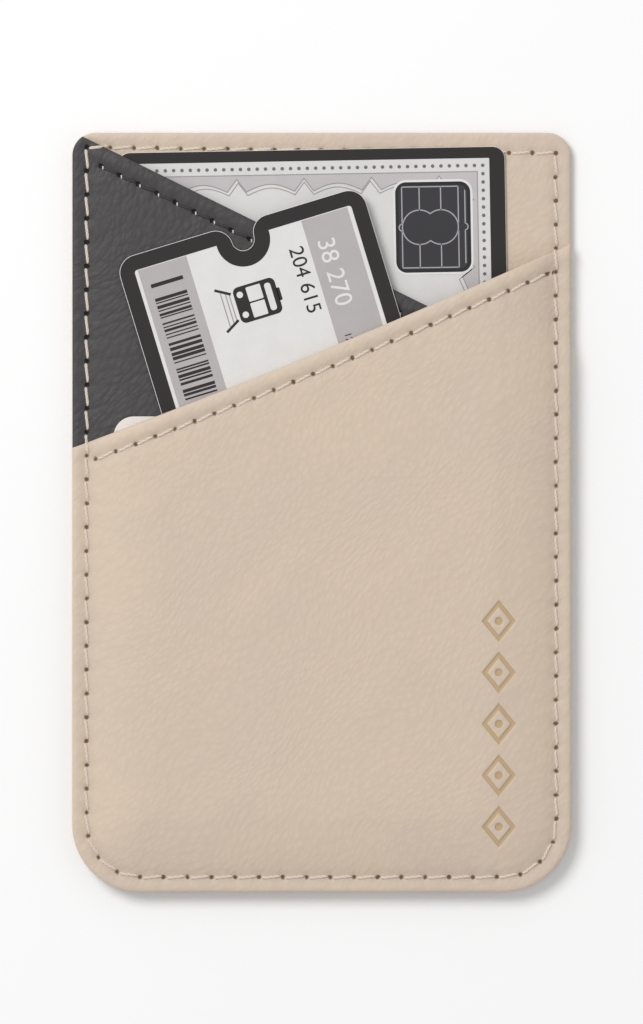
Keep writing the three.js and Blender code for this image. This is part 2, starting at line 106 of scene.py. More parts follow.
class PocketSizes(bpy.types.PropertyGroup):
    """Sizes of the sewn sheets, in millimetres."""

    top_corner: length("Top corners", 3.0, "Radius of the two upper corners")
    bottom_corner: length("Bottom corners", 8.8, "Radius of the two lower corners")
    inner_thickness: length("Inner sheet", 0.7, "Thickness of the dark inner panel")
    front_thickness: length("Front sheet", 0.8, "Thickness of the front panel")
    sewn_gap: length("Sewn gap", 0.03, "Room between the front and the inner sheet in the seam")
    edge_round: length("Cut edge", 0.3, "How deep the rubbed cut edges round off")
    edge_width: length("Edge width", 0.6, "Width over which they round off")
    front_mouth_left: length("Front mouth, left", 41.15, "Drop of the front mouth's left end below the top")
    front_mouth_right: length("Front mouth, right", 14.5, "Drop of its right end below the top")
    front_mouth_sag: length("Front mouth sag", 0.7, "How far the open edge sags between its ends")
    inner_mouth_right: length("Inner mouth, right", 31.85, "Drop of the inner mouth's right end")
    inner_mouth_angle: angle("Inner mouth start", 124, "Where it starts, round the upper left corner")
    fold_width: length("Fold width", 1.15, "Width over which the turned edge of a mouth rounds off")
    bead: length("Mouth fold", 0.15, "How far the turned fold stands proud of its sheet")
    rise_start: length("Rise starts", 2.3, "Inset at which the sheets leave the seam")
    rise_end: length("Rise ends", 13.3, "Inset at which they lie flat on the cards")
    grid: length("Mesh step", 0.38, "Size of the mesh's squares away from the edges")


class OrnamentSizes(bpy.types.PropertyGroup):
    """Sizes of the lozenges pressed into the front panel, in millimetres."""

    from_right: length("From the right", 9.4, "From the right edge to the middle of the column")
    from_bottom: length("From the bottom", 21.9, "From the bottom edge to the middle of the column")
    count: IntProperty(name="Lozenges", default=5, min=1, description="How many lozenges the column has")
    width: length("Width", 4.4, "Width of a lozenge")
    height: length("Height", 5.4, "Height of a lozenge")
    pitch: length("Pitch", 6.7, "Distance between two lozenges")
    line: FloatProperty(name="Line", default=0.3, subtype="FACTOR",
                        description="Share of a lozenge that its pressed line takes")
    dot: length("Dot", 0.5, "Radius of the dot in the middle")
    depth: length("Depth", 0.12, "How deep the ornament is pressed in")


class SeamSizes(bpy.types.PropertyGroup):
    """Sizes of the seams and their thread, in millimetres."""

    inset: length("Edge seam", 1.9, "Distance of the edge seam from the edge")
    top_drop: length("Top seam drop", 0.8, "How much lower the top seam ends at its right")
    pitch: length("Edge stitch", 3.1, "Distance between two needle holes of the edge seam")
    mouth_inset: length("Mouth seam", 2.4, "Distance of a mouth seam from its mouth")
    mouth_pitch: length("Mouth stitch", 2.75, "Distance between two needle holes of a mouth seam")
    mouth_end: length("Mouth seam end", 1.2, "Room between a mouth seam and the edge seam")
    thread: length("Needle thread", 0.2, "Radius of the needle thread")
    bobbin: length("Bobbin thread", 0.15, "Radius of the bobbin thread")
    slant: length("Stitch slant", 0.13, "How far a stitch's ends lie off the line of the seam")
    valley: length("Seam valley", 0.16, "Depth of the valley that the seam pulls into a sheet")
    valley_width: length("Valley width", 0.8, "Half the width of that valley")
    pit: length("Hole pit", 0.14, "Depth of the pit round a needle hole")
    pit_width: length("Pit width", 0.45, "Half the width of that pit")
    hole: length("Needle hole", 0.27, "Radius of a needle hole")


class CardSizes(bpy.types.PropertyGroup):
    """Sizes and places of the cards, in millimetres."""

    card_width: length("Bank card width", 50.5, "Width of the bank card")
    card_height: length("Bank card height", 80.0, "Height of the bank card")
    card_corner: length("Bank card corners", 1.6, "Radius of its corners")
    card_turn: angle("Bank card turn", 1.0, "How far the bank card leans to the left")
    card_shift: length("Bank card shift", -0.65, "How far its middle lies right of the pocket's middle")
    card_drop: length("Bank card drop", 2.2, "Room above the bank card")
    ticket_width: length("Ticket width", 33.5, "Width of the ticket")
    ticket_height: length("Ticket height", 52.0, "Height of the ticket")
    ticket_corner: length("Ticket corners", 2.4, "Radius of its corners")
    ticket_turn: angle("Ticket turn", 16.9, "How far the ticket leans to the left")
    ticket_left: length("Ticket from the left", 5.6, "From the pocket's left edge to the ticket's corner")
    ticket_top: length("Ticket from the top", 16.75, "From the pocket's top edge to the ticket's corner")
    notch: length("Notch", 1.45, "Radius of the notch in the ticket's top edge")
    notch_depth: length("Notch depth", 2.2, "From the ticket's edge to the notch's centre")
    notch_lip: length("Notch lip", 2.3, "Radius of the round lips of the notch")
    stiffener_corner: length("Stiffener corners", 2.6, "Radius of the stiffening card's corners")
    ink: length("Ink", 0.012, "Thickness of a layer of print")


class PocketColours(bpy.types.PropertyGroup):
    """Colours of the pocket and of the print."""

    beige: colour("Beige", seen(211, 193, 174), "The beige leatherette")
    # Painted shade: the dark colour painted into the needle holes of the beige sheets.
    beige_hole: colour("Beige holes", seen(98, 72, 44), "Needle holes in the beige leatherette")
    charcoal: colour("Charcoal", seen(72, 70, 71), "The dark leatherette")
    # Painted shade: the dark colour painted into the needle holes of the dark sheet.
    charcoal_hole: colour("Charcoal holes", seen(20, 19, 20), "Needle holes in the dark leatherette")
    foil: colour("Pressed ornament", seen(191, 164, 124), "The ornament pressed into the front")
    cream: colour("Cream thread", seen(232, 218, 202), "Needle thread of the edge and the front mouth")
    pale: colour("Pale thread", seen(224, 221, 216), "Bobbin thread and the stitches on the dark panel")
    grey_thread: colour("Grey thread", seen(66, 64, 66), "Needle thread of the inner mouth")
    card_field: colour("Card field", seen(219, 217, 216), "The bank card's light field")
    card_band: colour("Card band", seen(194, 190, 191), "The bank card's ornamental band")
    card_line: colour("Card lines", seen(158, 154, 155), "Fine lines on the bank card")
    card_dot: colour("Card dots", seen(112, 110, 109), "Dots round the bank card")
    black_ink: colour("Black ink", seen(42, 38, 38), "Borders and black print")
    ticket_field: colour("Ticket field", seen(226, 224, 222), "The ticket's white field")
    ticket_band: colour("Ticket bands", seen(182, 177, 177), "The ticket's grey bands")
    chip: colour("Chip", seen(48, 46, 51), "The chip's dark contacts")
    chip_edge: colour("Chip edge", seen(26, 25, 27), "The chip's dark rim")
    chip_line: colour("Chip lines", seen(168, 166, 170), "The fine lines between the contacts")
    board: colour("Stiffening card", seen(236, 230, 224), "The plain stiffening card")
    liner: colour("Liner", seen(238, 233, 224), "The release liner")
    adhesive: colour("Adhesive", seen(196, 190, 180), "The adhesive sheet")


class StageSettings(bpy.types.PropertyGroup):
    """The floor, the light, the picture's framing and the seed."""

    floor: colour("Floor", seen(255, 255, 255), "The floor's colour")
    world: FloatProperty(name="Sky", default=0.58, description="Strength of the even light from all round")
    key: FloatProperty(name="Key lamp", default=5.6, description="Power of the soft lamp at the upper left")
    share: FloatProperty(name="Share of the frame", default=0.74, subtype="FACTOR",
                         description="How much of the picture's height the pocket takes")
    seed: IntProperty(name="Seed", default=7, description="Seed of everything that is uneven")


GROUPS = {
    "pocket_sizes": PocketSizes,
    "ornament_sizes": OrnamentSizes,
    "seam_sizes": SeamSizes,
    "card_sizes": CardSizes,
    "pocket_colours": PocketColours,
    "stage_settings": StageSettings,
}


class Settings:
    """The values of one group, its lengths in millimetres."""

    def __init__(self, group):
        self.group = group

    def __getattr__(self, name):
        value = getattr(self.group, name)
        return value / MM if self.group.bl_rna.properties[name].unit == "LENGTH" else value


def settings(name):
    return Settings(getattr(bpy.context.scene, name))


# Shader maths


class Value:
    """A number in a material's tree, for use in Python expressions."""

    def __init__(self, finish, socket):
        self.finish = finish
        self.socket = socket

    def _math(self, operation, *values):
        node = self.finish.node("ShaderNodeMath", {"operation": operation}, dict(enumerate(values)))
        return Value(self.finish, node.outputs[0])

    def __add__(self, other):
        return self._math("ADD", self, other)

    def __sub__(self, other):
        return self._math("SUBTRACT", self, other)

    def __rsub__(self, other):
        return self._math("SUBTRACT", other, self)

    def __mul__(self, other):
        return self._math("MULTIPLY", self, other)

    __radd__ = __add__
    __rmul__ = __mul__

    def __abs__(self):
        return self._math("ABSOLUTE", self)

    def power(self, exponent):
        return self._math("POWER", self, exponent)

    def folded(self, step):
        """Goes up and down between 0 and a step."""
        return self._math("PINGPONG", self, step)

    def larger(self, other):
        return self._math("MAXIMUM", self, other)

    def ease(self, low, high, start=0.0, end=1.0):
        """Goes smoothly from start to end while this value goes from low to high."""
        ranges = {"From Min": low, "From Max": high, "To Min": start, "To Max": end}
        node = self.finish.node(
            "ShaderNodeMapRange", {"interpolation_type": "SMOOTHSTEP"}, {"Value": self, **ranges}
        )
        return Value(self.finish, node.outputs[0])


class Finish:
    """A material that is being put together, on one Principled shader."""

    def __init__(self, name):
        self.material = bpy.data.materials.new(name)
        self.material.use_nodes = True
        self.tree = self.material.node_tree
        self.shader = self.tree.nodes["Principled BSDF"]

    def node(self, kind, choices=None, inputs=None):
        """Adds a node: its choices are set first, and then its sockets are set or linked."""
        node = self.tree.nodes.new(kind)
        for key, choice in (choices or {}).items():
            setattr(node, key, choice)
        for key, given in (inputs or {}).items():
            self.feed(node.inputs[key], given)
        return node

    def feed(self, socket, given):
        if isinstance(given, Value):
            self.tree.links.new(given.socket, socket)
        elif hasattr(socket.default_value, "__len__") and len(socket.default_value) == 4 and len(given) == 3:
            socket.default_value = (*given, 1.0)
        else:
            socket.default_value = given

    def value(self, kind, choices=None, inputs=None, output=0):
        return Value(self, self.node(kind, choices, inputs).outputs[output])

    def place(self):
        """Where a point of the object lies, in millimetres."""
        point = self.value("ShaderNodeTexCoord", output="Object")
        return self.value("ShaderNodeVectorMath", {"operation": "SCALE"}, {0: point, "Scale": 1 / MM})

    def turned(self, point, angle, stretch):
        """The same place turned about Z, with its marks drawn out along the angle."""
        mapping = {"Vector": point, "Rotation": (0, 0, angle), "Scale": stretch}
        return self.value("ShaderNodeMapping", {"vector_type": "TEXTURE"}, mapping)

    def bent(self, point, scale, reach):
        """The same place shifted by slow noise, so that marks run unevenly."""
        slow = {"Vector": point, "Scale": scale, "Detail": 1.0}
        drift = self.value("ShaderNodeTexNoise", None, slow, output=1)
        inputs = {0: drift, 1: (reach, reach, 0.0), 2: point}
        return self.value("ShaderNodeVectorMath", {"operation": "MULTIPLY_ADD"}, inputs)

    def split(self, vector):
        parts = self.node("ShaderNodeSeparateXYZ", None, {0: vector})
        return [Value(self, parts.outputs[k]) for k in range(3)]

    def noise(self, point, scale, detail=2.0, distortion=0.0, roughness=0.5):
        inputs = {"Vector": point, "Scale": scale, "Detail": detail}
        inputs.update({"Distortion": distortion, "Roughness": roughness})
        return self.value("ShaderNodeTexNoise", None, inputs)

    def cells(self, point, scale, smoothness=0.6):
        inputs = {"Vector": point, "Scale": scale, "Smoothness": smoothness}
        return self.value("ShaderNodeTexVoronoi", {"feature": "SMOOTH_F1"}, inputs)

    def blend(self, factor, first, second):
        """A colour between two others."""
        inputs = {0: factor, 6: first, 7: second}
        return self.value("ShaderNodeMix", {"data_type": "RGBA"}, inputs, output=2)

    def attribute(self, name):
        return self.value("ShaderNodeAttribute", {"attribute_name": name}, output="Fac")

    def surface(self, **given):
        """Sets or links the shader's own sockets, with _ for a space in their names."""
        for key, value in given.items():
            self.feed(self.shader.inputs[key.replace("_", " ")], value)

    def bump(self, height, distance, strength=1.0):
        inputs = {"Height": height, "Distance": distance * MM, "Strength": strength}
        self.surface(Normal=self.value("ShaderNodeBump", None, inputs))


def linear(shown):
    """The linear colour that a shader takes for a colour as it is seen."""
    return tuple(c / 12.92 if c <= 0.04045 else ((c + 0.055) / 1.055) ** 2.4 for c in shown)


def shade(shown, share):
    """A colour made lighter or darker, as the shader takes it."""
    return tuple(min(1.0, c * share) for c in linear(shown))


# Outlines and surfaces


def smooth(low, high, value):
    t = np.clip((value - low) / (high - low), 0, 1)
    return t * t * (3 - 2 * t)


def swell(inset):
    """How far a sheet has risen from the seam at an inset, from 0 to 1: fast at first and then slowly."""
    sizes = settings("pocket_sizes")
    softness = 0.16
    slowing = 2.6
    beyond = inset - sizes.rise_start
    beyond = (beyond + np.sqrt(beyond * beyond + softness)) / 2
    t = np.clip(beyond / (sizes.rise_end - sizes.rise_start), 0, 1)
    return 1 - (1 - t) ** slowing


def edge_fall(radius, distance, width=None):
    """How far a rounded edge falls away at a distance from the edge, over a width of its own if given."""
    inside = np.clip(1 - distance / (width or radius), 0, 1)
    return radius * (1 - np.sqrt(1 - inside * inside))


def inset_from_edge(x, y):
    sizes = settings("pocket_sizes")
    radius = np.where(y < 0, sizes.bottom_corner, sizes.top_corner)
    beyond_x = np.abs(x) - (HALF_WIDTH - radius)
    beyond_y = np.abs(y) - (HALF_HEIGHT - radius)
    corner = np.hypot(np.maximum(beyond_x, 0), np.maximum(beyond_y, 0))
    return radius - corner - np.minimum(np.maximum(beyond_x, beyond_y), 0)


def inset_from_sides(x, y):
    """The same without the top edge, where the pockets are open."""
    return np.where(y < 0, inset_from_edge(x, y), HALF_WIDTH - np.abs(x))


class Mouth:
    """The open edge of a pocket, with its seam."""

    def __init__(self, start, end, sag):
        self.start = np.array(start)
        self.end = np.array(end)
        self.sag = sag
        run = self.end - self.start
        self.lean = run[0] / np.hypot(*run)

    def height(self, x):
        share = (x - self.start[0]) / (self.end[0] - self.start[0])
        line = self.start[1] + (self.end[1] - self.start[1]) * share
        return line - 4 * self.sag * share * (1 - share)

    def below(self, x, y):
        """How far a point lies below the mouth, square to it."""
        return (self.height(x) - y) * self.lean


def front_mouth():
    sizes = settings("pocket_sizes")
    start = (-HALF_WIDTH, HALF_HEIGHT - sizes.front_mouth_left)
    end = (HALF_WIDTH, HALF_HEIGHT - sizes.front_mouth_right)
    return Mouth(start, end, sizes.front_mouth_sag)


def inner_mouth():
    sizes = settings("pocket_sizes")
    radius = sizes.top_corner
    angle = sizes.inner_mouth_angle
    start_x = -HALF_WIDTH + radius * (1 + math.cos(angle))
    start_y = HALF_HEIGHT + radius * (math.sin(angle) - 1)
    return Mouth((start_x, start_y), (HALF_WIDTH, HALF_HEIGHT - sizes.inner_mouth_right), 0.0)


# Seams


def evenly(points, pitch):
    """Points along a line, a whole number of steps of about one pitch apart."""
    points = np.array(points)
    steps = np.hypot(*np.diff(points, axis=0).T)
    along = np.concatenate([[0], np.cumsum(steps)])
    count = int(round(along[-1] / pitch))
    wanted = np.linspace(0, along[-1], count + 1)
    return np.stack([np.interp(wanted, along, points[:, k]) for k in (0, 1)], axis=1)


def arc(centre, radius, start, end, steps=24):
    angles = np.radians(np.linspace(start, end, steps + 1))
    return [(centre[0] + radius * math.cos(a), centre[1] + radius * math.sin(a)) for a in angles]


def edge_seam():
    """The needle holes of the edge seam, down the left side, round, up the right side and back."""
    sizes = settings("pocket_sizes")
    seam = settings("seam_sizes")
    x = HALF_WIDTH - seam.inset
    top = HALF_HEIGHT - seam.inset
    radius = sizes.bottom_corner - seam.inset
    sides = [(-x, top)]
    sides += arc((-x + radius, -top + radius), radius, 180, 270)
    sides += arc((x - radius, -top + radius), radius, 270, 360)
    sides.append((x, top - seam.top_drop))
    across = [(x, top - seam.top_drop), (-x, top)]
    return np.concatenate([evenly(sides, seam.pitch)[:-1], evenly(across, seam.pitch)[:-1]])


def mouth_seam(mouth):
    """The needle holes of the seam along a mouth."""
    seam = settings("seam_sizes")
    reach = HALF_WIDTH - seam.inset - seam.mouth_end
    samples = 60
    xs = np.linspace(max(-reach, mouth.start[0] + seam.mouth_inset), reach, samples)
    ys = mouth.height(xs) - seam.mouth_inset / mouth.lean
    return evenly(np.stack([xs, ys], axis=1), seam.mouth_pitch)


def seam_place(x, y, holes, closed):
    """For each point its place along a seam, counted in stitches, and its distance from it."""
    ends = np.roll(holes, -1, axis=0) if closed else holes[1:]
    starts = holes if closed else holes[:-1]
    best = np.full(x.shape, np.inf)
    along = np.zeros(x.shape)
    for i, (a, b) in enumerate(zip(starts, ends)):
        run = b - a
        share = np.clip(((x - a[0]) * run[0] + (y - a[1]) * run[1]) / run.dot(run), 0, 1)
        far = np.hypot(x - a[0] - share * run[0], y - a[1] - share * run[1])
        nearer = far < best
        best[nearer] = far[nearer]
        along[nearer] = i + share[nearer]
    return along, best


def nearest_hole(x, y, holes):
    """For each point the way to the nearest needle hole."""
    best = np.full(x.shape, np.inf)
    way = np.zeros((*x.shape, 2))
    for hole in holes:
        step = np.stack([x - hole[0], y - hole[1]], axis=-1)
        far = np.hypot(step[..., 0], step[..., 1])
        nearer = far < best
        best[nearer] = far[nearer]
        way[nearer] = step[nearer]
    return way, best


def seam_marks(x, y, seams):
    """How deep the seams pull a sheet down, and how near a point is to a seam, from 0 to 1."""
    seam = settings("seam_sizes")
    pull_share = 0.22
    pucker_share, pucker_far, pucker_width = 0.16, 1.3, 0.6
    depth = np.zeros(x.shape)
    near = np.zeros(x.shape)
    for holes, closed in seams:
        along, far = seam_place(x, y, holes, closed)
        pull = np.cos(2 * np.pi * along)
        valley = np.exp(-((far / seam.valley_width) ** 2))
        pucker = np.exp(-(((far - pucker_far) / pucker_width) ** 2))
        depth += seam.valley * (1 - pull_share + pull_share * pull) * valley
        depth += pucker_share * seam.valley * pull * pucker
        far_hole = nearest_hole(x, y, holes)[1]
        depth += seam.pit * np.exp(-((far_hole / seam.pit_width) ** 2))
        near = np.maximum(near, valley)
    return depth, near


def unevenness(x, y, seed, size, height, waves=14):
    """A gentle wavy unevenness, made of waves that run every way."""
    rng = np.random.default_rng(seed)
    total = np.zeros(np.shape(x))
    for _ in range(waves):
        angle, phase = rng.uniform(0, 2 * np.pi, 2)
        step = size * rng.uniform(0.7, 1.9)
        total += np.sin(2 * np.pi * (x * math.cos(angle) + y * math.sin(angle)) / step + phase)
    return total * height / math.sqrt(waves)


# How far the turned edge of a mouth hangs below its sheet, in millimetres
TURNED_EDGE = 0.28
# Inset from the sides between which its two ends thin out
TURNED_ENDS = (5.5, 6.5)
# Distances below the mouth between which its cut edge thins out
TURNED_CUT = (6.4, 7.0)
# Distances below the mouth between which the proud fold sinks back into the sheet
BEAD_SINKS = (1.2, 2.5)
# Inset between which the large waves of a sheet set in
WAVY_FROM = (3.0, 9.0)


class Sheet:
    """One sewn sheet of leatherette: its two faces as heights over the outline."""

    def __init__(self, base, thickness, lift, mouth, seams, seed):
        self.base = base
        self.thickness = thickness
        self.lift = lift
        self.mouth = mouth
        self.seams = seams
        self.seed = seed

    def floor(self, x, y):
        """The height of what the sheet lies on."""
        return self.base + self.lift * swell(inset_from_sides(x, y)) - self.step_down(x, y)

    def step_down(self, x, y):
        return np.zeros(np.shape(x))

    def bead(self, x, y):
        depth = self.mouth.below(x, y)
        return settings("pocket_sizes").bead * (1 - smooth(*BEAD_SINKS, depth))

    def calm_top(self, x, y):
        """The upper face without its seams and unevenness."""
        sizes = settings("pocket_sizes")
        height = self.floor(x, y) + self.thickness
        fall = edge_fall(sizes.edge_round, inset_from_edge(x, y), sizes.edge_width)
        if self.mouth:
            nose = self.thickness / 2
            height = height + self.bead(x, y)
            fall = np.minimum(fall + edge_fall(nose, self.mouth.below(x, y), sizes.fold_width), nose)
        return height - fall

    def top(self, x, y):
        inside = smooth(*WAVY_FROM, inset_from_edge(x, y))
        waves = unevenness(x, y, self.seed, 9.0, 0.022) * inside
        waves = waves + unevenness(x, y, self.seed + 1, 3.2, 0.006)
        depth, near = seam_marks(x, y, self.seams)
        return self.calm_top(x, y) + waves - depth, near

    def bottom(self, x, y):
        sizes = settings("pocket_sizes")
        height = self.floor(x, y) + edge_fall(sizes.edge_round / 2, inset_from_edge(x, y))
        if self.mouth:
            height = height + edge_fall(self.thickness / 2, self.mouth.below(x, y))
            fold = smooth(*TURNED_ENDS, inset_from_sides(x, y))
            height = height - TURNED_EDGE * fold * (1 - smooth(*TURNED_CUT, self.mouth.below(x, y)))
        return height

    def covers(self, x, y):
        return self.mouth.below(x, y) > 0


class InnerSheet(Sheet):
    """The dark sheet. Its fold is pressed flat where the front panel is sewn over it, at the right."""

    def bead(self, x, y):
        pressed_until, free_from = 2.9, 5.5
        free = smooth(pressed_until, free_from, inset_from_sides(x, y))
        return super().bead(x, y) * np.where(x > 0, free, 1.0)


def pressed_depth(x, y):
    """How deep the ornament is pressed into the front sheet."""
    sizes = settings("ornament_sizes")
    across = np.abs(x - (HALF_WIDTH - sizes.from_right))
    along = np.abs(y - (sizes.from_bottom - HALF_HEIGHT))
    half = sizes.pitch / 2
    within = half - np.abs(np.mod(along, sizes.pitch) - half)
    size = across * 2 / sizes.width + within * 2 / sizes.height
    wall, dot_wall = 0.06, 0.1
    ring = 1 - smooth(1 - wall, 1 + wall, size)
    ring = ring * smooth(1 - sizes.line - wall, 1 - sizes.line + wall, size)
    dot = 1 - smooth(sizes.dot - dot_wall, sizes.dot + dot_wall, np.hypot(across, within))
    return sizes.depth * np.maximum(ring, dot) * (along < sizes.count * half)


class FrontSheet(Sheet):
    """The front sheet. It steps down at the right, past the end of the inner sheet, the stiffening
    card under it shows as a slight rise, and it has the ornament pressed in."""

    def __init__(self, *given, step, hidden_card):
        super().__init__(*given)
        self.step = step
        self.hidden_card = hidden_card

    def step_down(self, x, y):
        step_start, step_end = 1.6, 5.0
        past = smooth(step_start, step_end, -inner_mouth().below(x, y))
        return self.step * past * (1 - swell(inset_from_sides(x, y)))

    def calm_top(self, x, y):
        (left, bottom), (right, _) = self.hidden_card
        outside, inside, most = 1.2, 0.8, 0.07
        over = smooth(left - outside, left + inside, x) * (1 - smooth(right - inside, right + outside, x))
        rise = most * over * smooth(bottom - outside, bottom + inside, y) - most
        return super().calm_top(x, y) + rise - pressed_depth(x, y)


def sheets():
    """The three sheets with all that they share."""
    sizes = settings("pocket_sizes")
    seed = settings("stage_settings").seed
    edge = (edge_seam(), True)
    low, high = node_box("stiffening_card")
    inner_seam_base = BACK_TOP
    front_seam_base = inner_seam_base + sizes.inner_thickness + sizes.sewn_gap
    inner_top = node_box("inner_pocket_panel")[1][2]
    front_top = node_box("front_pocket_panel")[1][2]
    inner_lift = inner_top - sizes.bead - sizes.inner_thickness - inner_seam_base
    front_lift = front_top - sizes.bead - sizes.front_thickness - front_seam_base
    back = Sheet(BACK_BASE, BACK_TOP - BACK_BASE, 0.0, None, [edge], seed)
    inner_seams = [edge, (mouth_seam(inner_mouth()), False)]
    inner = InnerSheet(
        inner_seam_base, sizes.inner_thickness, inner_lift, inner_mouth(), inner_seams, seed + 10,
    )
    front_seams = [edge, (mouth_seam(front_mouth()), False)]
    front = FrontSheet(
        front_seam_base, sizes.front_thickness, front_lift, front_mouth(), front_seams, seed + 20,
        step=front_seam_base - inner_seam_base, hidden_card=(low[:2], high[:2]),
    )
    return back, inner, front


# Meshes


def new_object(name, mesh, replaces=None, rides="root"):
    piece = bpy.data.objects.new(name, mesh)
    bpy.context.scene.collection.objects.link(piece)
    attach(piece, rides)
    if replaces:
        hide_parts(replaces)
    return piece


def mesh_of(name, points, faces, material, smooth_faces=True):
    """A mesh from points in millimetres."""
    mesh = bpy.data.meshes.new(name)
    mesh.from_pydata((np.array(points) * MM).tolist(), [], faces)
    mesh.materials.append(material)
    mesh.polygons.foreach_set("use_smooth", [smooth_faces] * len(mesh.polygons))
    mesh.update()
    return mesh


def steps_along(total, near_start, near_end, step, count=None):
    """Distances along a side: close together at its ends and one mesh step apart between them."""
    start = np.array(near_start)
    end = total - np.array(near_end)[::-1]
    if count is None:
        count = int((end[0] - start[-1]) / step)
    return np.concatenate([start, np.linspace(start[-1], end[0], count + 2)[1:-1], end]), count


def side_points(side, near_start, near_end, step, count=None):
    side = np.array(side)
    along = np.concatenate([[0], np.cumsum(np.hypot(*np.diff(side, axis=0).T))])
    wanted, count = steps_along(along[-1], near_start, near_end, step, count)
    return np.stack([np.interp(wanted, along, side[:, k]) for k in (0, 1)], axis=1), count


def patch(lower, upper, left, right):
    """A grid of points between four sides."""
    a = ((lower[:, 0] - lower[0, 0]) / (lower[-1, 0] - lower[0, 0]))[None, :, None]
    b_left = (left[:, 1] - left[0, 1]) / (left[-1, 1] - left[0, 1])
    b_right = (right[:, 1] - right[0, 1]) / (right[-1, 1] - right[0, 1])
    b = ((b_left + b_right) / 2)[:, None, None]
    between = lower[None] * (1 - b) + upper[None] * b + left[:, None] * (1 - a) + right[:, None] * a
    corners = (lower[0] * (1 - a) + lower[-1] * a) * (1 - b) + (upper[0] * (1 - a) + upper[-1] * a) * b
    return between - corners


# Distances of the mesh's first rows from an edge and from a mouth, in millimetres
NEAR_EDGE = [0, 0.03, 0.08, 0.15, 0.24, 0.36, 0.55, 0.8, 1.05, 1.3, 1.5, 1.7, 1.9, 2.1, 2.3, 2.55, 2.9, 3.3]
NEAR_MOUTH = [0, 0.03, 0.08, 0.15, 0.26, 0.4, 0.6, 0.9, 1.2, 1.5, 1.8, 2.0, 2.2, 2.4, 2.6, 2.8, 3.1, 3.5]


def refined(points, measure, low, high, parts):
    """Splits the steps between two values of a measure of each point."""
    fine = [points[0]]
    for a, b, at, after in zip(points[:-1], points[1:], measure[:-1], measure[1:]):
        count = parts if at < high and after > low else 1
        fine += [a + (b - a) * (k + 1) / count for k in range(count)]
    return np.array(fine)


def sheet_grid(mouth, corner_start=None, fine_at=None):
    """The grid of a sheet, from the middle of each bottom corner to its mouth or to its top edge.
    It is finer in the columns and rows of a box given with fine_at."""
    sizes = settings("pocket_sizes")
    radius = sizes.bottom_corner
    cx = HALF_WIDTH - radius
    cy = radius - HALF_HEIGHT
    top = sizes.top_corner
    tx = HALF_WIDTH - top
    ty = HALF_HEIGHT - top
    left = arc((-cx, cy), radius, 225, 180)
    right = arc((cx, cy), radius, -45, 0)
    lower = arc((-cx, cy), radius, 225, 270) + arc((cx, cy), radius, 270, 315)
    if mouth is None:
        left += arc((-tx, ty), top, 180, 135)
        right += arc((tx, ty), top, 0, 45)
        upper = arc((-tx, ty), top, 135, 90) + arc((tx, ty), top, 90, 45)
    else:
        if corner_start is not None:
            left += arc((-tx, ty), top, 180, corner_start)
        else:
            left.append(tuple(mouth.start))
        right.append(tuple(mouth.end))
        upper = None
    near_top = NEAR_EDGE if mouth is None else [d / mouth.lean for d in NEAR_MOUTH]
    lower, columns = side_points(lower, NEAR_EDGE, NEAR_EDGE, sizes.grid)
    if fine_at:
        (low_x, low_y), (high_x, high_y) = fine_at
        at = -HALF_WIDTH + 2 * HALF_WIDTH * (lower[:, 0] - lower[0, 0]) / (lower[-1, 0] - lower[0, 0])
        lower = refined(lower, at, low_x, high_x, 3)
    if upper:
        upper, _ = side_points(upper, NEAR_EDGE, NEAR_EDGE, sizes.grid, columns)
    else:
        share = (lower[:, 0] - lower[0, 0]) / (lower[-1, 0] - lower[0, 0])
        xs = mouth.start[0] + (mouth.end[0] - mouth.start[0]) * share
        upper = np.stack([xs, mouth.height(xs)], axis=1)
    _, rows_left = side_points(left, NEAR_EDGE, near_top, sizes.grid)
    _, rows_right = side_points(right, NEAR_EDGE, near_top, sizes.grid)
    rows = (rows_left + rows_right) // 2
    left, _ = side_points(left, NEAR_EDGE, near_top, sizes.grid, rows)
    right, _ = side_points(right, NEAR_EDGE, near_top, sizes.grid, rows)
    if fine_at:
        at = (left[:, 1] + right[:, 1]) / 2
        left = refined(left, at, low_y, high_y, 2)
        right = refined(right, at, low_y, high_y, 2)
    return patch(lower, upper, left, right)


def ornament_box():
    """The box round the ornament, with a little room."""
    sizes = settings("ornament_sizes")
    room = 0.2
    x = HALF_WIDTH - sizes.from_right
    y = sizes.from_bottom - HALF_HEIGHT
    half_width = sizes.width / 2 + room
    half_height = sizes.count * sizes.pitch / 2 - (sizes.pitch - sizes.height) / 2 + room
    return (x - half_width, y - half_height), (x + half_width, y + half_height)


def grid_faces(index, flip):
    """The squares of a grid of point numbers, facing up or, flipped, down."""
    a, b = index[:-1, :-1].ravel(), index[:-1, 1:].ravel()
    c, d = index[1:, 1:].ravel(), index[1:, :-1].ravel()
    quads = np.stack([a, d, c, b] if flip else [a, b, c, d], axis=1)
    return quads.tolist()


def thinned(count, step):
    """Every so many of a count of lines, always with the last."""
    kept = list(range(0, count, step))
    return kept if kept[-1] == count - 1 else kept + [count - 1]


def rim_of(rows, columns):
    """The grid's outline, counted anticlockwise."""
    index = np.arange(rows * columns).reshape(rows, columns)
    return np.concatenate([index[0, :-1], index[:-1, -1], index[-1, :0:-1], index[:0:-1, 0]])


